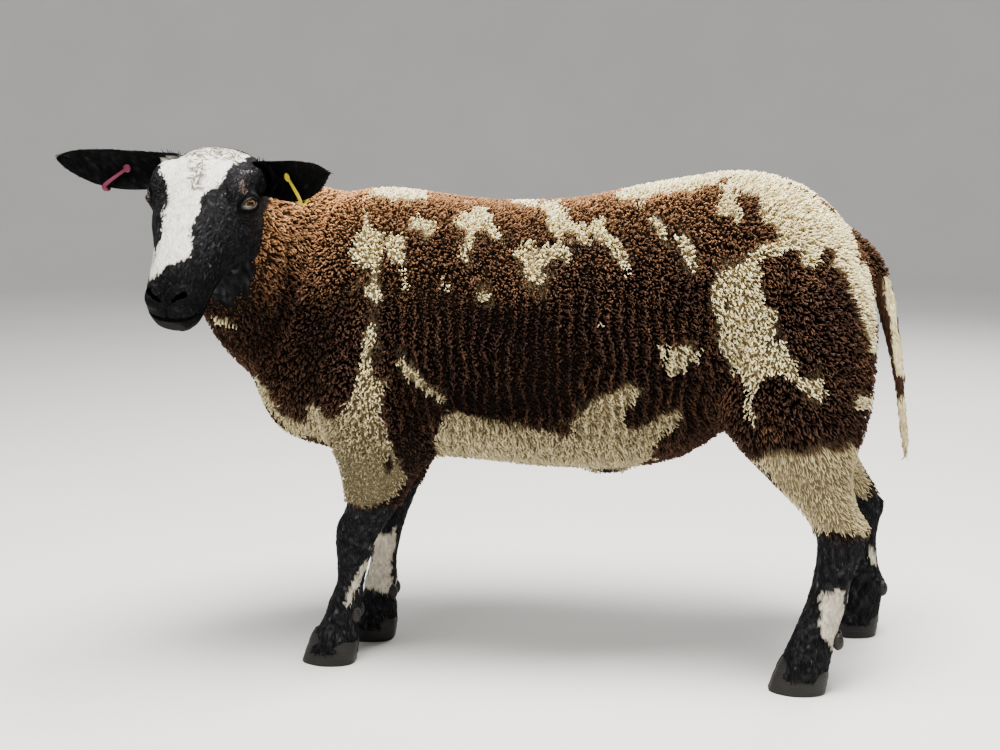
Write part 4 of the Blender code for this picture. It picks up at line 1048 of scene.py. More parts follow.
def photo_pixels(points):
    """Where points of the laid-out animal fall in the photograph's frame."""
    fall, turn = CAMERA_FALL, CAMERA_TURN
    ahead = np.array((-math.sin(turn) * math.cos(fall), math.cos(turn) * math.cos(fall),
                      -math.sin(fall)))
    right = np.array((math.cos(turn), math.sin(turn), 0.0))
    up = np.cross(right, ahead)
    away = points - np.array(CAMERA_PLACE)
    depth = away @ ahead
    across = 0.5 * PICTURE[0] + CAMERA_FOCUS * (away @ right) / depth
    down = 0.5 * PICTURE[1] - CAMERA_FOCUS * (away @ up) / depth
    return np.stack([across, down], axis=1)


def inside(outline, pixels):
    """Which pixels lie inside one closed outline."""
    corners = np.array(outline, float)
    result = np.zeros(len(pixels), bool)
    low = corners.min(axis=0)
    high = corners.max(axis=0)
    near = np.all((pixels >= low) & (pixels <= high), axis=1)
    spots = pixels[near]
    found = np.zeros(len(spots), bool)
    for (x1, y1), (x2, y2) in zip(corners, np.roll(corners, -1, axis=0)):
        crosses = (y1 > spots[:, 1]) != (y2 > spots[:, 1])
        edge = x1 + (spots[:, 1] - y1) * (x2 - x1) / (y2 - y1 if y2 != y1 else 1e-9)
        found ^= crosses & (spots[:, 0] < edge)
    result[near] = found
    return result


def marked(outlines, pixels):
    found = np.zeros(len(pixels), bool)
    for outline in outlines.values():
        found |= inside(outline, pixels)
    return found


def ripple(points, scale, seed):
    """Smooth seeded noise between about -1 and 1."""
    draw = np.random.default_rng(seed)
    total = np.zeros(len(points))
    for _ in range(6):
        way = draw.normal(size=3)
        way /= np.linalg.norm(way)
        total += np.sin(points @ way * (2 * math.pi / scale) * draw.uniform(0.7, 1.5)
                        + draw.uniform(0, 2 * math.pi))
    return total / 2.6


def smooth_step(low, high, values):
    share = np.clip((values - low) / (high - low), 0.0, 1.0)
    return share * share * (3 - 2 * share)


def ruff_place(points):
    """How far points lie towards the face from the middle of the brow, along the ruff's slant."""
    away = points - np.array(BROW)
    way = np.array(FACE) * math.cos(RUFF_TILT) + np.array(OUT) * math.sin(RUFF_TILT)
    poll = 2.2 * np.maximum(0.0, away @ np.array(OUT) + 0.055)
    return away @ way + poll + 0.002 * ripple(points, 0.02, SEED + 40)


def near_eye(points, side, margin):
    """Which points lie over the slit between the lids or within a margin round it."""
    long_way, short_way, gaze = (np.array(axis) for axis in gaze_axes(side))
    away = points - np.array(eye_centre(side))
    u = away @ long_way / (EYE_HALF_LENGTH + margin)
    v = away @ short_way / (LID_RISES[0] + margin)
    return (u ** 2 + v ** 2 < 1) & (away @ gaze > 0)


def lip_place(points):
    """How far points at the front of the muzzle lie above the mouth's line."""
    away = points - np.array(on_head(MOUTH_CENTRE[0], MOUTH_CENTRE[1], 0))
    upward = OUT * math.cos(MOUTH_TILT) - FACE * math.sin(MOUTH_TILT)
    front = away @ np.array(FACE) > -0.03
    return np.where(front, away @ np.array(upward), 1.0)


def ear_places(points):
    """For each ear its side, its axes along, up and out of the cup, and the points from its root."""
    for name, side in SIDES.items():
        axes = [np.array(axis) for axis in ear_axes(name)]
        yield side, axes, points - np.array(ear_root(name))


def kinds_of(points):
    """The kind of coat at points of the skin: wool, face, ear, leg or tail."""
    kinds = np.full(len(points), "wool", dtype=object)
    x, y, z = points.T
    top = np.where(x < 0.1, LEG_HAIR_TOP["fore"], LEG_HAIR_TOP["hind"])
    kinds[z < top + 0.005 * ripple(points, 0.04, SEED + 41)] = "leg"
    middle, halves = (np.array(item) for item in SHEATH)
    kinds[(((points - middle) / halves) ** 2).sum(axis=1) < 1.0] = "leg"
    kinds[ruff_place(points) > RUFF_PLACE] = "face"
    for _, (along, *_), away in ear_places(points):
        reach = away @ along
        off = np.linalg.norm(away - np.outer(reach, along), axis=1)
        kinds[np.linalg.norm(away, axis=1) < 0.046] = "face"
        kinds[(reach > 0.020) & (off < 0.045)] = "ear"
    point, outward = (np.array(item) for item in TAIL_CUT)
    behind = ((points - point) @ outward > -0.004) & (np.abs(y) < TAIL_HALF_WIDTH)
    kinds[behind & (z > TAIL_HEIGHTS[0]) & (z < TAIL_HEIGHTS[1])] = "tail"
    return kinds


def thigh_share(points):
    """How far points lie on the thigh, from none to full."""
    return smooth_step(0.44, 0.36, points[:, 2]) * smooth_step(0.34, 0.40, points[:, 0])


def lies_of(points, normals, kinds):
    """The way the hair lies at points of the skin."""
    lies = np.tile(np.array(LIES["wool"]), (len(points), 1))
    thigh = thigh_share(points)
    lies[:, 0] += 0.1 * thigh
    lies[:, 2] -= 0.6 * thigh
    for kind in ("leg", "tail"):
        lies[kinds == kind] = LIES[kind]
    face = kinds == "face"
    away = points[face] - np.array(BROW)
    fan = np.clip(away @ np.array(LEFT) / 0.05, -1, 1)[:, None]
    lies[face] = (-0.9 * np.array(FACE)[None] + 0.45 * fan * np.array(LEFT)[None]
                  - 0.25 * np.abs(fan) * np.array(OUT)[None])
    for _, (along, *_), away in ear_places(points):
        lies[(kinds == "ear") & (away @ along > 0)] = along
    lies += 0.12 * np.stack([ripple(points, 0.05, SEED + k) for k in range(3)], axis=1)
    flat = lies - normals * np.sum(lies * normals, axis=1, keepdims=True)
    return unit_rows(flat)


def coat_shares(points, normals, kinds, draw):
    """How pale, ginger and grey the coat is by where its tips are, and its painted brow highlight.
    """
    to_camera = unit_rows(np.array(CAMERA_PLACE) - points)
    facing = np.sum(to_camera * normals, axis=1)
    seen = facing > -0.12 + 0.14 * ripple(points, 0.05, SEED + 6)
    mirrored = points.copy()
    mirrored[:, 0] += MIRROR_SHIFT * smooth_step(0.0, 0.16, points[:, 1])
    mirrored[:, 1] = -np.abs(points[:, 1])
    places = np.where(seen[:, None], points, mirrored)
    pixels = photo_pixels(places)
    shift = np.stack([ripple(points, 0.030, SEED + 20), ripple(points, 0.030, SEED + 21)], axis=1)
    pixels += EDGE_WANDER * shift + draw.normal(0, TUFT_STRAY, pixels.shape)
    turned = smooth_step(0.40, 0.05, facing)
    pixels[:, 0] += FAR_WANDER * turned * ripple(points, 0.055, SEED + 22)
    wool = (kinds == "wool") | (kinds == "tail")
    pale = np.zeros(len(points))
    pale[wool & marked(PALE_WOOL, pixels) & ~marked(DARK_SPOTS, pixels)] = 1.0
    pale[inside(PALE_WOOL["throat"], pixels) & (ruff_place(points) < -0.15)] = 0.0
    tail = kinds == "tail"
    long_way = points[tail] * np.array((1.0, 1.0, 0.2))
    streaks = (ripple(long_way, 0.018, SEED + 23) > 0.35) & (facing[tail] < 0.1)
    pale[tail] = np.where(marked(DARK_TAIL, pixels[tail]) | streaks, 0.0, 0.85)
    face = (kinds == "face") & (facing > 0.0)
    blaze = face & marked(BLAZE, pixels)
    pale[blaze] = 1.0
    grey = np.zeros(len(points))
    grey[blaze & marked(GREY_STREAK, pixels)] = 1.0
    leg = kinds == "leg"
    near = points[:, 1] < 0
    pale[leg & near & (facing > -0.2) & marked(PALE_LEGS, pixels)] = 1.0
    pale[leg & ~near & (facing > -0.2) & marked(PALE_FAR_LEGS, pixels)] = 1.0
    # Ginger grows towards the top: partly the tips' own colour, partly painted light from above.
    withers = smooth_step(0.655, 0.765, points[:, 2]) * smooth_step(0.38, 0.26, points[:, 0])
    neck = smooth_step(-0.10, -0.26, points[:, 0]) * smooth_step(0.56, 0.72, points[:, 2])
    ruff = smooth_step(-0.150, -0.100, ruff_place(points)) * smooth_step(0.52, 0.66, points[:, 2])
    back = smooth_step(0.54, 0.68, points[:, 2])
    ginger = (GINGER["withers"] * withers + GINGER["neck"] * neck + GINGER["ruff"] * ruff
              + GINGER["back"] * back)
    ginger += 0.05 * ripple(points, 0.07, SEED + 5)
    # Where the brow's bump has its painted highlight.
    brow_highlight = face & marked(BROW_HIGHLIGHT, pixels)
    return pale, np.clip(ginger, 0, 1), grey, brow_highlight


def coat_colours(points, normals, depths, kinds, draw):
    """Root and tip colours of the coat at points of the skin."""
    reach = np.where(kinds == "wool", np.clip(depths, 0, 0.02), 0.001)[:, None]
    outer = points + normals * reach + 0.35 * reach * lies_of(points, normals, kinds)
    pale, ginger, grey, brow_highlight = coat_shares(outer, normals, kinds, draw)
    count = len(points)
    roots = np.tile(DARK_ROOT, (count, 1))
    tips = DARK_TIP + (GINGER_TIP - DARK_TIP) * ginger[:, None]
    roots = roots + (GINGER_TIP * 0.12 - roots) * 0.6 * ginger[:, None]
    short = (kinds == "face") | (kinds == "ear") | (kinds == "leg")
    roots[short] = BLACK_ROOT
    tips[short] = BLACK_TIP
    for side, (along, up, cup), away in ear_places(points):
        own = (kinds == "ear") & (away @ along > -0.02)
        # Painted shade: the hair inside each ear's cup is darker.
        tips[own & (normals @ cup > 0.1)] = 0.20 * BLACK_TIP
        upper = own & (away @ up > 0.014) & (normals @ up > 0.25) & (draw.random(count) < 0.4)
        tips[upper] = GREY_TIP
        tips[near_eye(points, side, LID_DARK)] = BLACK_ROOT
    # Paint the highlight on the brow's bump.
    tips[brow_highlight] = BROW_HIGHLIGHT_TIP
    muzzle = smooth_step(0.06, 0.13, (points - np.array(BROW)) @ np.array(FACE))[:, None]
    tips = np.where((kinds == "face")[:, None], tips * (1 - 0.60 * muzzle), tips)
    lips = (kinds == "face") & (lip_place(points) < -0.001)
    tips[lips] = 0.2 * BLACK_TIP
    nape = (kinds == "wool") & (ruff_place(outer) > RUFF_PLACE - 0.055) & (outer[:, 2] > 0.728)
    tips[nape] = 2.0 * BLACK_TIP
    roots[nape] = BLACK_ROOT
    white = short & (pale > 0)
    roots[white] = WHITE_ROOT
    tips[white] = WHITE_TIP
    tips[white & (kinds == "leg")] = LEG_WHITE_TIP
    wool = ~short & (pale > 0)
    # Painted shade: the pale wool is darker towards the belly, up to a higher line at the front.
    under = smooth_step(0.36, 0.22, points[:, 0])
    painted_low_shade = smooth_step(0.30, 0.48 + 0.08 * under, points[:, 2])
    painted_low_shade = (painted_low_shade + (0.66 - 0.24 * under) * (1 - painted_low_shade))[:, None]
    roots[wool] = (PALE_ROOT * painted_low_shade)[wool]
    tips[wool] = (PALE_TIP * painted_low_shade)[wool]
    streaked = (grey > 0) & (draw.random(count) < 0.60)
    tips[streaked] = STREAK_TIP
    roots[streaked] = 0.4 * STREAK_TIP
    # Random tone of each tuft, wider on the dark short hair, where it is partly painted glints of
    # sheen.
    level = np.exp(draw.normal(0, 1, count) * np.where(short & ~white, 0.80, 0.20))[:, None]
    return roots * level, np.clip(tips * level, 0, MOST_LIGHT)


def spread(points, gap):
    """Keep points that are at least a gap apart, taken in their own order."""
    cells = np.floor(points / gap).astype(int)
    rows = points.tolist()
    square = gap * gap
    taken = {}
    kept = []
    for index, (x, y, z) in enumerate(rows):
        a, b, c = cells[index]
        near = (rows[other] for i, j, k in NEIGHBOURS
                for other in taken.get((a + i, b + j, c + k), ()))
        if all((u - x) ** 2 + (v - y) ** 2 + (w - z) ** 2 >= square for u, v, w in near):
            taken.setdefault((a, b, c), []).append(index)
            kept.append(index)
    return np.array(kept)


class Surface:
    """The skin's triangles as arrays, with the coat's depth at each corner."""

    def __init__(self, thing, tree):
        mesh = thing.data
        mesh.calc_loop_triangles()
        self.points = read_rows(mesh.vertices, "co", 3).astype(float)
        self.normals = read_rows(mesh.vertex_normals, "vector", 3).astype(float)
        self.corners = read_rows(mesh.loop_triangles, "vertices", 3, np.int32)
        loops = read_rows(mesh.loop_triangles, "loops", 3, np.int32)
        self.flat = read_rows(mesh.uv_layers["OFBake"].data, "uv", 2)[loops]
        a, b, c = (self.points[self.corners[:, k]] for k in range(3))
        self.areas = 0.5 * np.linalg.norm(np.cross(b - a, c - a), axis=1)
        self.depths = np.zeros(len(self.points))
        for index, (point, normal) in enumerate(zip(self.points, self.normals)):
            way = Vector(normal)
            hit = tree.ray_cast(Vector(point) + way * DEPTH_START, way, DEPTH_END)
            if hit[0] is not None:
                self.depths[index] = hit[3]
        self.kinds = kinds_of(self.points[self.corners].mean(axis=1))

    def roots(self, kind, gap, draw):
        """Evenly spread roots on one kind of coat: place, normal, depth and unwrapped place."""
        faces = np.nonzero(self.kinds == kind)[0]
        areas = self.areas[faces]
        tries = int(3.2 * areas.sum() / gap ** 2)
        chosen = faces[np.searchsorted(np.cumsum(areas) / areas.sum(), draw.random(tries))]
        share = draw.random((tries, 2))
        over = share.sum(axis=1) > 1
        share[over] = 1 - share[over]
        weights = np.stack([1 - share.sum(axis=1), share[:, 0], share[:, 1]], axis=1)
        corners = self.corners[chosen]
        places = np.einsum("nk,nkd->nd", weights, self.points[corners])
        kept = spread(places, gap)
        weights = weights[kept]
        corners = corners[kept]
        normals = unit_rows(np.einsum("nk,nkd->nd", weights, self.normals[corners]))
        depths = np.sum(weights * self.depths[corners], axis=1)
        flat = np.einsum("nk,nkd->nd", weights, self.flat[chosen[kept]])
        return places[kept], normals, depths, flat


def gather(points, cell, seed):
    """The way from each point to the nearest middle of a clump, and how far out it lies."""
    cells = np.floor(points / cell).astype(np.int64)
    best = np.full(len(points), 1e9)
    ways = np.zeros_like(points)
    for step in NEIGHBOURS:
        own = cells + step
        jitter = []
        for salt in (1, 2, 3):
            mixed = np.sin(own @ CELL_MIX * salt + seed) * CELL_SCATTER
            jitter.append(mixed - np.floor(mixed))
        away = (own + np.stack(jitter, axis=1)) * cell - points
        distance = np.linalg.norm(away, axis=1)
        closer = distance < best
        best[closer] = distance[closer]
        ways[closer] = away[closer]
    return ways, best / cell


def grow(places, normals, lies, lengths, rise, reach, thick, curl, turns, pull, form, draw):
    """Points and faces of tapered, curled tufts, and how far along its tuft each point is."""
    count = len(places)
    across = np.cross(normals, lies)
    share, profile = np.array(form).T
    rings = len(form) - 1
    phase = draw.uniform(0, 2 * math.pi, count)[:, None]
    spin = np.where(draw.random(count) < 0.5, -1.0, 1.0)[:, None]
    angle = phase + spin * turns[:, None] * 2 * math.pi * share[None]
    coil = curl[:, None] * np.minimum(1.0, 1.6 * share[None])
    up = (lengths * rise)[:, None] * (1 - (1 - share[None]) ** 1.8) - ROOT_DEPTH
    over = (lengths * reach)[:, None] * share[None] ** 1.3
    middle = (places[:, None] + normals[:, None] * up[..., None] + lies[:, None] * over[..., None]
              + pull[:, None] * (share[None, :, None] ** 1.4)
              + lies[:, None] * (coil * np.cos(angle))[..., None]
              + across[:, None] * (coil * np.sin(angle))[..., None]
              - lies[:, None] * (coil * np.cos(phase))[..., None] * 0.5
              - across[:, None] * (coil * np.sin(phase))[..., None] * 0.5)
    run = np.gradient(middle, share, axis=1)
    run /= np.maximum(np.linalg.norm(run, axis=2, keepdims=True), 1e-9)
    first = np.cross(run, across[:, None] + 0.3 * normals[:, None])
    first /= np.maximum(np.linalg.norm(first, axis=2, keepdims=True), 1e-9)
    second = np.cross(run, first)
    radius = thick[:, None] * profile[None]
    points = []
    for ring in range(rings):
        for turn in angles(TUFT_SIDES):
            points.append(middle[:, ring] + radius[:, ring, None]
                          * (first[:, ring] * math.cos(turn) + second[:, ring] * math.sin(turn)))
    points.append(middle[:, rings])
    points = np.stack(points, axis=1)
    faces = []
    for low in range(0, (rings - 1) * TUFT_SIDES, TUFT_SIDES):
        high = low + TUFT_SIDES
        for side in range(TUFT_SIDES):
            after = (side + 1) % TUFT_SIDES
            faces.append((low + side, low + after, high + after))
            faces.append((low + side, high + after, high + side))
    last = (rings - 1) * TUFT_SIDES
    for side in range(TUFT_SIDES):
        faces.append((last + side, last + (side + 1) % TUFT_SIDES, rings * TUFT_SIDES))
    steps = np.append(np.repeat(share[:-1], TUFT_SIDES), 1.0)
    return points, np.array(faces), steps


def mesh_from_tufts(name, points, faces, colours, flat, steps, shift):
    """One object of many tufts, with their colours and their patches of the unwrapped skin."""
    count, each, _ = points.shape
    corners = (faces[None] + (np.arange(count) * each)[:, None, None]).reshape(-1)
    triangles = len(corners) // 3
    mesh = bpy.data.meshes.new(name)
    mesh.vertices.add(count * each)
    write_rows(mesh.vertices, "co", points.reshape(-1, 3) + shift)
    mesh.loops.add(len(corners))
    write_rows(mesh.loops, "vertex_index", corners, np.int32)
    mesh.polygons.add(triangles)
    write_rows(mesh.polygons, "loop_start", np.arange(0, len(corners), 3), np.int32)
    mesh.update(calc_edges=True)
    write_rows(mesh.polygons, "use_smooth", np.ones(triangles), bool)
    paint(mesh, colours.reshape(-1, 3))
    around = np.tile(np.arange(TUFT_SIDES) / TUFT_SIDES, len(steps) // TUFT_SIDES)
    patch = np.stack([np.append(around, 0.5), steps], axis=1) * PATCH
    spots = (flat[:, None] + patch[None]).reshape(-1, 2)
    write_rows(mesh.uv_layers.new(name="OFBake").data, "uv", spots[corners])
    return add_object(name, mesh)


def blend_colours(roots, tips, steps, power=1.0):
    # From the root's colour to the tip's; the darker roots are painted shade deep in the coat.
    share = np.asarray(steps)[None, :, None] ** power
    return roots[:, None] * (1 - share) + tips[:, None] * share


def split_tufts(name, tufts, colours, flat, stuff, shift):
    """Make coat pieces from tufts, each under the most triangles a piece may have."""
    points, faces, steps = tufts
    most = PIECE_TRIANGLES // len(faces)
    order = np.argsort(points[:, 0, 0])
    parts = np.array_split(order, max(1, math.ceil(len(order) / most)))
    for index, part in enumerate(parts):
        label = name if len(parts) == 1 else name + "_" + str(index + 1)
        piece = mesh_from_tufts(label, points[part], faces, colours[part], flat[part], steps,
                                shift)
        dress(piece, stuff)


def wool_coat(surface, stuff, shift):
    """The fleece: close curled locks that gather in small clumps, and in ribs on the flanks."""
    draw = np.random.default_rng(SEED + 1)
    places, normals, depths, flat = surface.roots("wool", WOOL_GAP, draw)
    count = len(places)
    kinds = np.full(count, "wool", dtype=object)
    lies = lies_of(places, normals, kinds)
    x, y, z = places.T
    thigh = thigh_share(places)
    flank = (smooth_step(-0.17, -0.08, x) * smooth_step(0.36, 0.27, x)
             * smooth_step(0.34, 0.42, z) * smooth_step(0.63, 0.55, z))
    fold = np.exp(-((ruff_place(places) + 0.126) / 0.009) ** 2) * smooth_step(0.70, 0.64, z)
    warp = 0.004 * ripple(places, 0.09, SEED + 31) + 0.0015 * ripple(places, 0.03, SEED + 32)
    phase = 2 * math.pi * (x + warp) / RIB_SPACING
    ways, far = gather(places, CLUMP_CELL, SEED)
    ways -= normals * np.sum(ways * normals, axis=1, keepdims=True)
    tone = np.exp(0.30 * ripple(places + ways, 0.015, SEED + 33))
    pull = 0.55 * ways * (1 - 0.7 * flank)[:, None]
    sideways = np.array((1.0, 0.0, 0.0)) - normals * normals[:, :1]
    pull += sideways * (RIB_PULL * flank * np.cos(phase))[:, None]
    clump = 1.05 - 0.40 * np.clip(far, 0, 0.9) ** 2
    rib = 0.84 + 0.20 * np.sin(phase)
    level = (1 - flank) * clump + flank * rib
    depth = np.clip(depths, 0.006, 0.019)
    depth = np.where((x > 0.535) & (np.abs(y) < 0.04), np.minimum(depth, 0.010), depth)
    lengths = depth * level * draw.uniform(0.90, 1.04, count)
    ruff = ruff_place(places)
    crest = smooth_step(0.69, 0.73, z) * smooth_step(-0.190, -0.120, ruff)
    lengths *= (1 - 0.45 * smooth_step(-0.100, -0.088, ruff)) * (1 - 0.4 * fold)
    lengths *= 1 - 0.6 * crest
    small = np.clip(depth / 0.013, 0.4, 1.0)
    reach = 0.30 + 0.7 * thigh + 0.20 * draw.random(count)
    thick = WOOL_THICK * (0.65 + 0.35 * small) * draw.uniform(0.8, 1.15, count) * (1 - 0.4 * thigh)
    curl = WOOL_CURL * small * draw.uniform(0.7, 1.25, count) * (1 - 0.6 * thigh)
    turns = draw.uniform(0.6, 1.1, count)
    tufts = grow(places, normals, lies, lengths, 1.0, reach, thick, curl, turns, pull, LOCK_FORM,
                 draw)
    roots, tips = coat_colours(places, normals, depths, kinds, draw)
    # Painted shade and light: tips are darker in the ribs' grooves, between clumps and in the fold
    # behind the ruff, lighter at the clumps' middles off the flank, with a random tone as well.
    plain = 1 - flank
    groove = 1 + 0.35 * plain - 0.52 * flank * (0.5 - 0.5 * np.sin(phase))
    groove -= 0.60 * plain * np.clip(far, 0, 1)
    groove *= tone * (1 - 0.5 * fold)
    # The pale wool gets softer painted shade, and its roots less darkening.
    pale = tips[:, 2] > 0.42 * tips[:, 0]
    groove = np.where(pale, groove ** 0.40, groove)
    power = np.where(pale, 0.8, 1.3)[:, None, None]
    colours = blend_colours(roots, np.minimum(tips * groove[:, None], 0.9), tufts[2], power)
    split_tufts("fleece", tufts, colours, flat, stuff, shift)


def short_coat(surface, kind, stuff, shift):
    """Short hair that lies flat over the face, ears, legs or tail."""
    draw = np.random.default_rng(SEED + 2)
    gap, length, thickness, rise, curl = HAIR[kind]
    rooted = surface.roots(kind, gap, draw)
    lids = [near_eye(rooted[0], side, LID_BARE) for side in SIDES.values()]
    places, normals, depths, flat = (rows[~(lids[0] | lids[1])] for rows in rooted)
    count = len(places)
    kinds = np.full(count, kind, dtype=object)
    lies = lies_of(places, normals, kinds)
    lengths = length * draw.uniform(0.75, 1.2, count)
    if kind == "face":
        away = (places - np.array(BROW)) @ np.array(FACE)
        lengths *= 1.0 - 0.55 * smooth_step(0.05, 0.15, away)
    rise = rise * draw.uniform(0.7, 1.3, count)
    thick = thickness * draw.uniform(0.8, 1.2, count)
    form = TAIL_FORM if kind == "tail" else HAIR_FORM
    tufts = grow(places, normals, lies, lengths, rise, 0.9, thick, np.full(count, curl),
                 np.full(count, 0.6), np.zeros((count, 3)), form, draw)
    roots, tips = coat_colours(places, normals, depths, kinds, draw)
    colours = blend_colours(roots, tips, tufts[2])
    split_tufts(kind + "_coat", tufts, colours, flat, stuff, shift)


def paint_skin(skin, surface):
    """Give the skin the coat's own markings, with painted shade under the wool, and the way of its
    grain.
    """
    draw = np.random.default_rng(SEED + 3)
    kinds = kinds_of(surface.points)
    roots, tips = coat_colours(surface.points, surface.normals, surface.depths, kinds, draw)
    wool = (kinds == "wool")[:, None]
    # Under the wool the skin is darkened as painted shade.
    paint(skin.data, np.where(wool, 0.30 * roots + 0.03 * tips, 0.45 * roots + 0.55 * tips))
    face = ((kinds == "face") | (kinds == "ear"))[:, None]
    away = surface.points - np.array(BROW)
    on_face = np.stack([away @ np.array(way) for way in (LEFT, OUT, FACE)], axis=1)
    grain = np.where(face, on_face, surface.points) * (1.0, 1.0, 0.22)
    keep_vectors(skin.data, "grain", grain)


def new_material(name, roughness, specular=0.5):
    stuff = bpy.data.materials.new(name)
    stuff.use_nodes = True
    shader = stuff.node_tree.nodes["Principled BSDF"]
    shader.inputs["Roughness"].default_value = roughness
    shader.inputs["Specular IOR Level"].default_value = specular
    return stuff, stuff.node_tree, shader


def feed(tree, socket, value):
    """Link an output to a node's input, or set a plain value on it."""
    if isinstance(value, bpy.types.NodeSocket):
        tree.links.new(value, socket)
    else:
        socket.default_value = value


def node(tree, kind, **values):
    """Add a shader node and give its properties and its inputs by name."""
    item = tree.nodes.new(kind)
    for key, value in values.items():
        if hasattr(item, key):
            setattr(item, key, value)
        else:
            feed(tree, item.inputs[key.replace("_", " ")], value)
    return item


def add_bump(tree, shader, height, strength, distance):
    bump = node(tree, "ShaderNodeBump", Strength=strength, Distance=distance, Height=height)
    feed(tree, shader.inputs["Normal"], bump.outputs["Normal"])


def scaled(tree, colour, level):
    mix = node(tree, "ShaderNodeVectorMath", operation="SCALE", Vector=colour, Scale=level)
    return mix.outputs["Vector"]


def ramp(tree, factor, stops):
    """Colours along a factor, each stop a place and a colour, in order."""
    item = node(tree, "ShaderNodeValToRGB", Fac=factor)
    marks = item.color_ramp.elements
    for mark, (place, colour) in zip(marks, (stops[0], stops[-1])):
        mark.position = place
        mark.color = (*colour, 1.0)
    for place, colour in stops[1:-1]:
        marks.new(place).color = (*colour, 1.0)
    return item.outputs["Color"]


def grained_material(name, way=None):
    """A plain colour, or the mesh's painted one, with fine noise that varies and raises it.

    The noise runs along a vector kept on the mesh, if one is named.
    """
    colour, roughness, specular, scale, low, high, bump, relief = GRAINS[name]
    stuff, tree, shader = new_material(name, roughness, specular)
    if colour is None:
        base = node(tree, "ShaderNodeAttribute", attribute_name="coat").outputs["Color"]
    else:
        base = node(tree, "ShaderNodeRGB").outputs[0]
        base.default_value = colour
    if way is None:
        place = node(tree, "ShaderNodeTexCoord").outputs["Object"]
    else:
        place = node(tree, "ShaderNodeAttribute", attribute_name=way).outputs["Vector"]
    noise = node(tree, "ShaderNodeTexNoise", Scale=scale, Detail=3.0, Vector=place).outputs["Fac"]
    level = node(tree, "ShaderNodeMapRange", Value=noise, From_Min=0.3, From_Max=0.7, To_Min=low,
                 To_Max=high).outputs["Result"]
    feed(tree, shader.inputs["Base Color"], scaled(tree, base, level))
    add_bump(tree, shader, noise, bump, relief)
    return stuff


def horn_material():
    """Dark hoof horn with growth rings."""
    stuff, tree, shader = new_material("hoof_horn", 0.50, 0.25)
    place = node(tree, "ShaderNodeTexCoord").outputs["Object"]
    rings = node(tree, "ShaderNodeTexWave", bands_direction="Z", Scale=90.0, Distortion=2.0,
                 Detail=2.0, Vector=place).outputs["Fac"]
    feed(tree, shader.inputs["Base Color"], ramp(tree, rings, HORN))
    add_bump(tree, shader, rings, 0.5, 0.0006)
    return stuff


def eye_material():
    """Amber iris with a level oblong pupil, dark round its edge, under a wet coat."""
    stuff, tree, shader = new_material("eye_amber", 0.10)
    shader.inputs["Coat Weight"].default_value = 1.0
    shader.inputs["Coat Roughness"].default_value = 0.03

    def maths(operation, *values, clamp=False):
        step = node(tree, "ShaderNodeMath", operation=operation, use_clamp=clamp)
        for socket, value in zip(step.inputs, values):
            feed(tree, socket, value)
        return step.outputs[0]

    def square(value):
        return maths("MULTIPLY", value, value)

    look = node(tree, "ShaderNodeAttribute", attribute_name="look").outputs["Vector"]
    parts = node(tree, "ShaderNodeSeparateXYZ", Vector=look)
    u, v = parts.outputs["X"], parts.outputs["Y"]
    iris = ramp(tree, maths("SQRT", maths("ADD", square(u), square(v))), IRIS)
    streaks = node(tree, "ShaderNodeTexNoise", Scale=7.0, Detail=4.0, Vector=look).outputs["Fac"]
    tinted = scaled(tree, iris, maths("ADD", maths("MULTIPLY", streaks, 1.2), 0.4))
    wide, tall = (square(maths("DIVIDE", value, half)) for value, half in zip((u, v), PUPIL))
    oblong = maths("ADD", square(wide), square(tall))
    outside = maths("MULTIPLY", maths("SUBTRACT", oblong, 0.8), 3.0, clamp=True)
    final = scaled(tree, tinted, maths("MAXIMUM", outside, 0.02))
    feed(tree, shader.inputs["Base Color"], final)
    return stuff


def dress(piece, stuff):
    piece.data.materials.clear()
    piece.data.materials.append(stuff)
    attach(piece, "root")


def finish_piece(piece, stuff, slot, shift, *nodes):
    """Smooth a piece, move it onto the model, dress it, and hide the model's nodes that it stands
    for.
    """
    piece.data.shade_smooth()
    piece.data.transform(Matrix.Translation(Vector(shift)))
    dress(piece, stuff)
    if nodes:
        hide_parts(*nodes)


def make_eyes(stuff, shift):
    for name, side in SIDES.items():
        centre = eye_centre(side)
        eye = ball("eyeball_" + name, centre, [EYE_RADIUS] * 3, detail=5)
        gaze = gaze_axes(side)[2]
        level = unit((gaze.y, -gaze.x, 0))
        axes = (level, gaze.cross(level), gaze)
        aways = [(corner.co - centre) / EYE_RADIUS for corner in eye.data.vertices]
        keep_vectors(eye.data, "look", [[away.dot(axis) for axis in axes] for away in aways])
        finish_piece(eye, stuff, "eye", shift, "eye_" + name)


def make_lid_rims(stuff, shift):
    """The moist dark rims of the lids, one closed almond for each eye."""
    for name, side in SIDES.items():
        centre = eye_centre(side)
        long_way, short_way, gaze = gaze_axes(side)
        route = []
        for angle in angles(RIM_STEPS):
            u = 0.985 * EYE_HALF_LENGTH * math.cos(angle)
            v = lid_edge(u, LID_RISES[0]) if math.sin(angle) > 0 else -lid_edge(u, LID_RISES[1])
            flat = long_way * u + short_way * v * 0.97
            depth = math.sqrt(max(0.0, (EYE_RADIUS + RIM_OUT) ** 2 - flat.length_squared))
            route.append(centre + flat + gaze * depth)
        rings = []
        for index, point in enumerate(route):
            run = unit(route[(index + 1) % RIM_STEPS] - route[index - 1])
            outward = unit(point - centre)
            sideways = run.cross(outward)
            rings.append([point + (outward * math.cos(angle) + sideways * math.sin(angle))
                          * LID_RIM for angle in angles(8)])
        rim = loft("lid_rim_" + name, rings, endless=True)
        finish_piece(rim, stuff, "face_hair", shift)


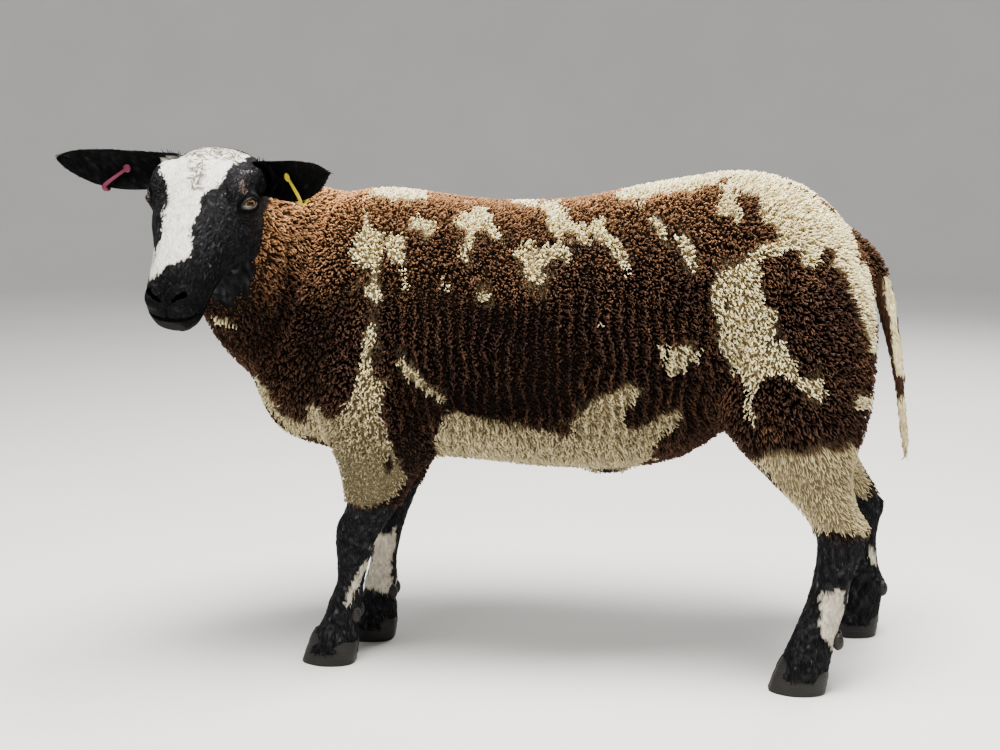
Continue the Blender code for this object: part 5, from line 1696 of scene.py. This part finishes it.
def foot_axis(name):
    """Where the coronet of a foot has its middle, read from the leg's own sections."""
    rows = LEGS[name]
    upper = rows[-2]
    lower = rows[-1]
    t = (upper[0] - CORONET_HEIGHT) / (upper[0] - lower[0])
    x = upper[1] + (lower[1] - upper[1]) * t
    y = upper[2] + (lower[2] - upper[2]) * t
    return x, y


def coronet_level(x, middle):
    """The height of the slanted coronet, which is higher in front."""
    return CORONET_HEIGHT + math.tan(CORONET_SLOPE) * (middle - x)


def claw_form(name, foot, side):
    """One claw of a cloven foot, flat below and on its inner face, pointed at the toe."""
    middle, across = foot_axis(foot)
    rings = []
    for level in CLAW_LEVELS:
        length = SOLE_LENGTH + (CORONET_LENGTH - SOLE_LENGTH) * level
        inset = 0.0015 * max(0.0, 1 - level / 0.05) ** 2
        inset += 0.0016 * max(0.0, (level - 0.85) / 0.15) ** 2
        inset += 0.0003 * math.sin(60 * level)
        centre = middle - TOE_REACH * (1 - level)
        ring = []
        for index in range(CLAW_SIDES):
            angle = math.pi * index / (CLAW_SIDES - 1)
            forward = math.cos(angle)
            taper = 1.0 - 0.30 * max(0.0, forward) ** 2
            x = centre - forward * (0.5 * length - inset)
            bulge = (CLAW_WIDTH - inset) * math.sin(angle) ** 0.75 * taper
            y = across + side * (0.5 * CLEFT + max(0.0008, bulge))
            if index in (0, CLAW_SIDES - 1):
                y = across + side * 0.5 * CLEFT
            ring.append(Vector((x, y, level * coronet_level(x, middle))))
        rings.append(ring)
    return loft(name, rings)


def make_claws(stuff, shift):
    for foot in LEGS:
        outward = -1 if foot.endswith("left") else 1
        for claw, side in (("outer", outward), ("inner", -outward)):
            label = foot + "_" + claw
            finish_piece(claw_form("claw_" + label, foot, side), stuff, "hoof_horn", shift,
                         "hoof_" + label)


def make_dewclaws(stuff, shift):
    for foot, rows in LEGS.items():
        row = min(rows, key=lambda item: abs(item[0] - DEWCLAW_HEIGHT))
        for label, side in (("a", 1), ("b", -1)):
            centre = (row[1] + row[3] - 0.002, row[2] + side * 0.014, DEWCLAW_HEIGHT - 0.006)
            piece = ball("dewclaw_" + foot + "_" + label, centre, DEWCLAW_SIZE, detail=3)
            finish_piece(piece, stuff, "leg_hair", shift)


def tag_form(name, ear, start, end, top):
    """A slim looped tag: down the cup, round the lower edge and up the back of an ear."""
    along, up, cup = ear_axes(ear)
    half = 0.5 * TAG_THICKNESS
    off = half + TAG_CLEARANCE
    edge = ear_point(ear, end, -1.0, 0)
    behind = ear_point(ear, end, -1.0, 1)
    route = [
        ear_point(ear, start, top, 0) + cup * off,
        ear_point(ear, end, -0.86, 0) + cup * (off + 0.0010),
        edge - up * off + cup * 0.0026,
        0.5 * (edge + behind) - up * 0.0056,
        behind - up * off - cup * 0.0026,
        ear_point(ear, end, -0.84, 1) - cup * (off + 0.0012),
        ear_point(ear, end, -0.50, 1) - cup * (off + 0.0012),
    ]
    route = [Vector(row) for row in curve_rows([tuple(point) for point in route], 5)]
    rings = []
    for index, point in enumerate(route):
        before = route[max(0, index - 1)]
        after = route[min(len(route) - 1, index + 1)]
        run = unit(after - before)
        side = unit(along - run * along.dot(run))
        thick = run.cross(side)
        share = index / (len(route) - 1)
        wide = TAG_WIDTH * (0.27 + 0.23 * min(1.0, share / 0.4))
        ring = []
        for angle in angles(16):
            u = signed_power(math.cos(angle), 0.5)
            v = signed_power(math.sin(angle), 0.7)
            ring.append(point + side * wide * u + thick * half * v)
        rings.append(ring)
    strip = loft(name, rings)
    for share, back in ((0.02, 1), (0.98, -1)):
        spot = route[int(share * (len(route) - 1))]
        button = ball("button", spot + cup * 0.0008 * back, TAG_BUTTON, turn_to(along, up, cup), 3)
        boolean(strip, button, "UNION")
    return strip


def make_tags(stuffs, shift):
    for slot, (ear, start, end, top) in TAGS.items():
        tag = tag_form("tag_loop_" + ear, ear, start, end, top)
        finish_piece(tag, stuffs[slot], slot, shift, "ear_tag_" + ear)


def make_floor():
    """A round pale floor whose rim sweeps up out of sight."""
    rims = [(radius, 0.0) for radius in (0.5, 2.0, 4.0, FLOOR_RADIUS)]
    for index in range(1, FLOOR_STEPS + 1):
        angle = 0.5 * math.pi * index / FLOOR_STEPS
        rims.append((FLOOR_RADIUS + FLOOR_SWEEP * math.sin(angle),
                     FLOOR_SWEEP * (1 - math.cos(angle))))
    rims.append((FLOOR_RADIUS + FLOOR_SWEEP, FLOOR_TOP))
    shape = bmesh.new()
    centre = shape.verts.new((0, 0, 0))
    loops = [[shape.verts.new((radius * math.cos(angle), radius * math.sin(angle), height))
              for angle in angles(FLOOR_SIDES)] for radius, height in rims]
    for side in range(FLOOR_SIDES):
        after = (side + 1) % FLOOR_SIDES
        shape.faces.new((centre, loops[0][side], loops[0][after]))
        for low, high in zip(loops, loops[1:]):
            shape.faces.new((low[side], high[side], high[after], low[after]))
    mesh = bpy.data.meshes.new("floor")
    shape.to_mesh(mesh)
    shape.free()
    mesh.shade_smooth()
    floor = add_object("floor", mesh)
    floor.data.materials.append(grained_material("floor_pale"))


def make_light(name, place, target, size, power, colour):
    lamp = bpy.data.lights.new(name, "AREA")
    lamp.shape = "RECTANGLE"
    lamp.size, lamp.size_y = size
    lamp.energy = power
    lamp.color = colour
    thing = add_object(name, lamp)
    thing.location = place
    thing.rotation_euler = (Vector(target) - Vector(place)).to_track_quat("-Z", "Y").to_euler()


def make_lights():
    world = bpy.data.worlds.new("studio")
    world.use_nodes = True
    backdrop = world.node_tree.nodes["Background"]
    backdrop.inputs["Color"].default_value = (0.86, 0.89, 0.93, 1)
    backdrop.inputs["Strength"].default_value = 0.35
    bpy.context.scene.world = world
    for name, values in LIGHTS.items():
        make_light(name, *values)


def make_camera(shift):
    lens = bpy.data.cameras.new("view")
    lens.sensor_width = 36.0
    lens.lens = 36.0 * CAMERA_FOCUS / PICTURE[0]
    camera = add_object("view", lens)
    camera.location = CAMERA_PLACE + Vector(shift)
    camera.rotation_euler = (0.5 * math.pi - CAMERA_FALL, 0.0, CAMERA_TURN)
    bpy.context.scene.camera = camera


def main():
    eye_low, eye_high = (Vector(corner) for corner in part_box("eye_left"))
    shift = np.array(0.5 * (eye_low + eye_high) - on_head(*EYE_PLACE))
    tree = outer_tree()
    skin = skin_surface()
    unwrap(skin)
    surface = Surface(skin, tree)
    paint_skin(skin, surface)
    hide = grained_material("skin_hair", "grain")
    finish_piece(skin, hide, "face_hair", shift, *FLESH_NODES)
    wool = grained_material("wool")
    hair = grained_material("short_hair")
    wool_coat(surface, wool, shift)
    for kind, stuff, slot in (("face", hair, "face_hair"), ("ear", hair, "ear_hair"),
                              ("leg", hair, "leg_hair"), ("tail", wool, "tail_wool")):
        short_coat(surface, kind, stuff, shift)
    make_eyes(eye_material(), shift)
    make_lid_rims(grained_material("lid_rim"), shift)
    horn = horn_material()
    make_claws(horn, shift)
    make_dewclaws(horn, shift)
    make_tags({slot: grained_material(slot) for slot in ("tag_yellow", "tag_red")}, shift)
    make_floor()
    make_lights()
    make_camera(shift)


main()
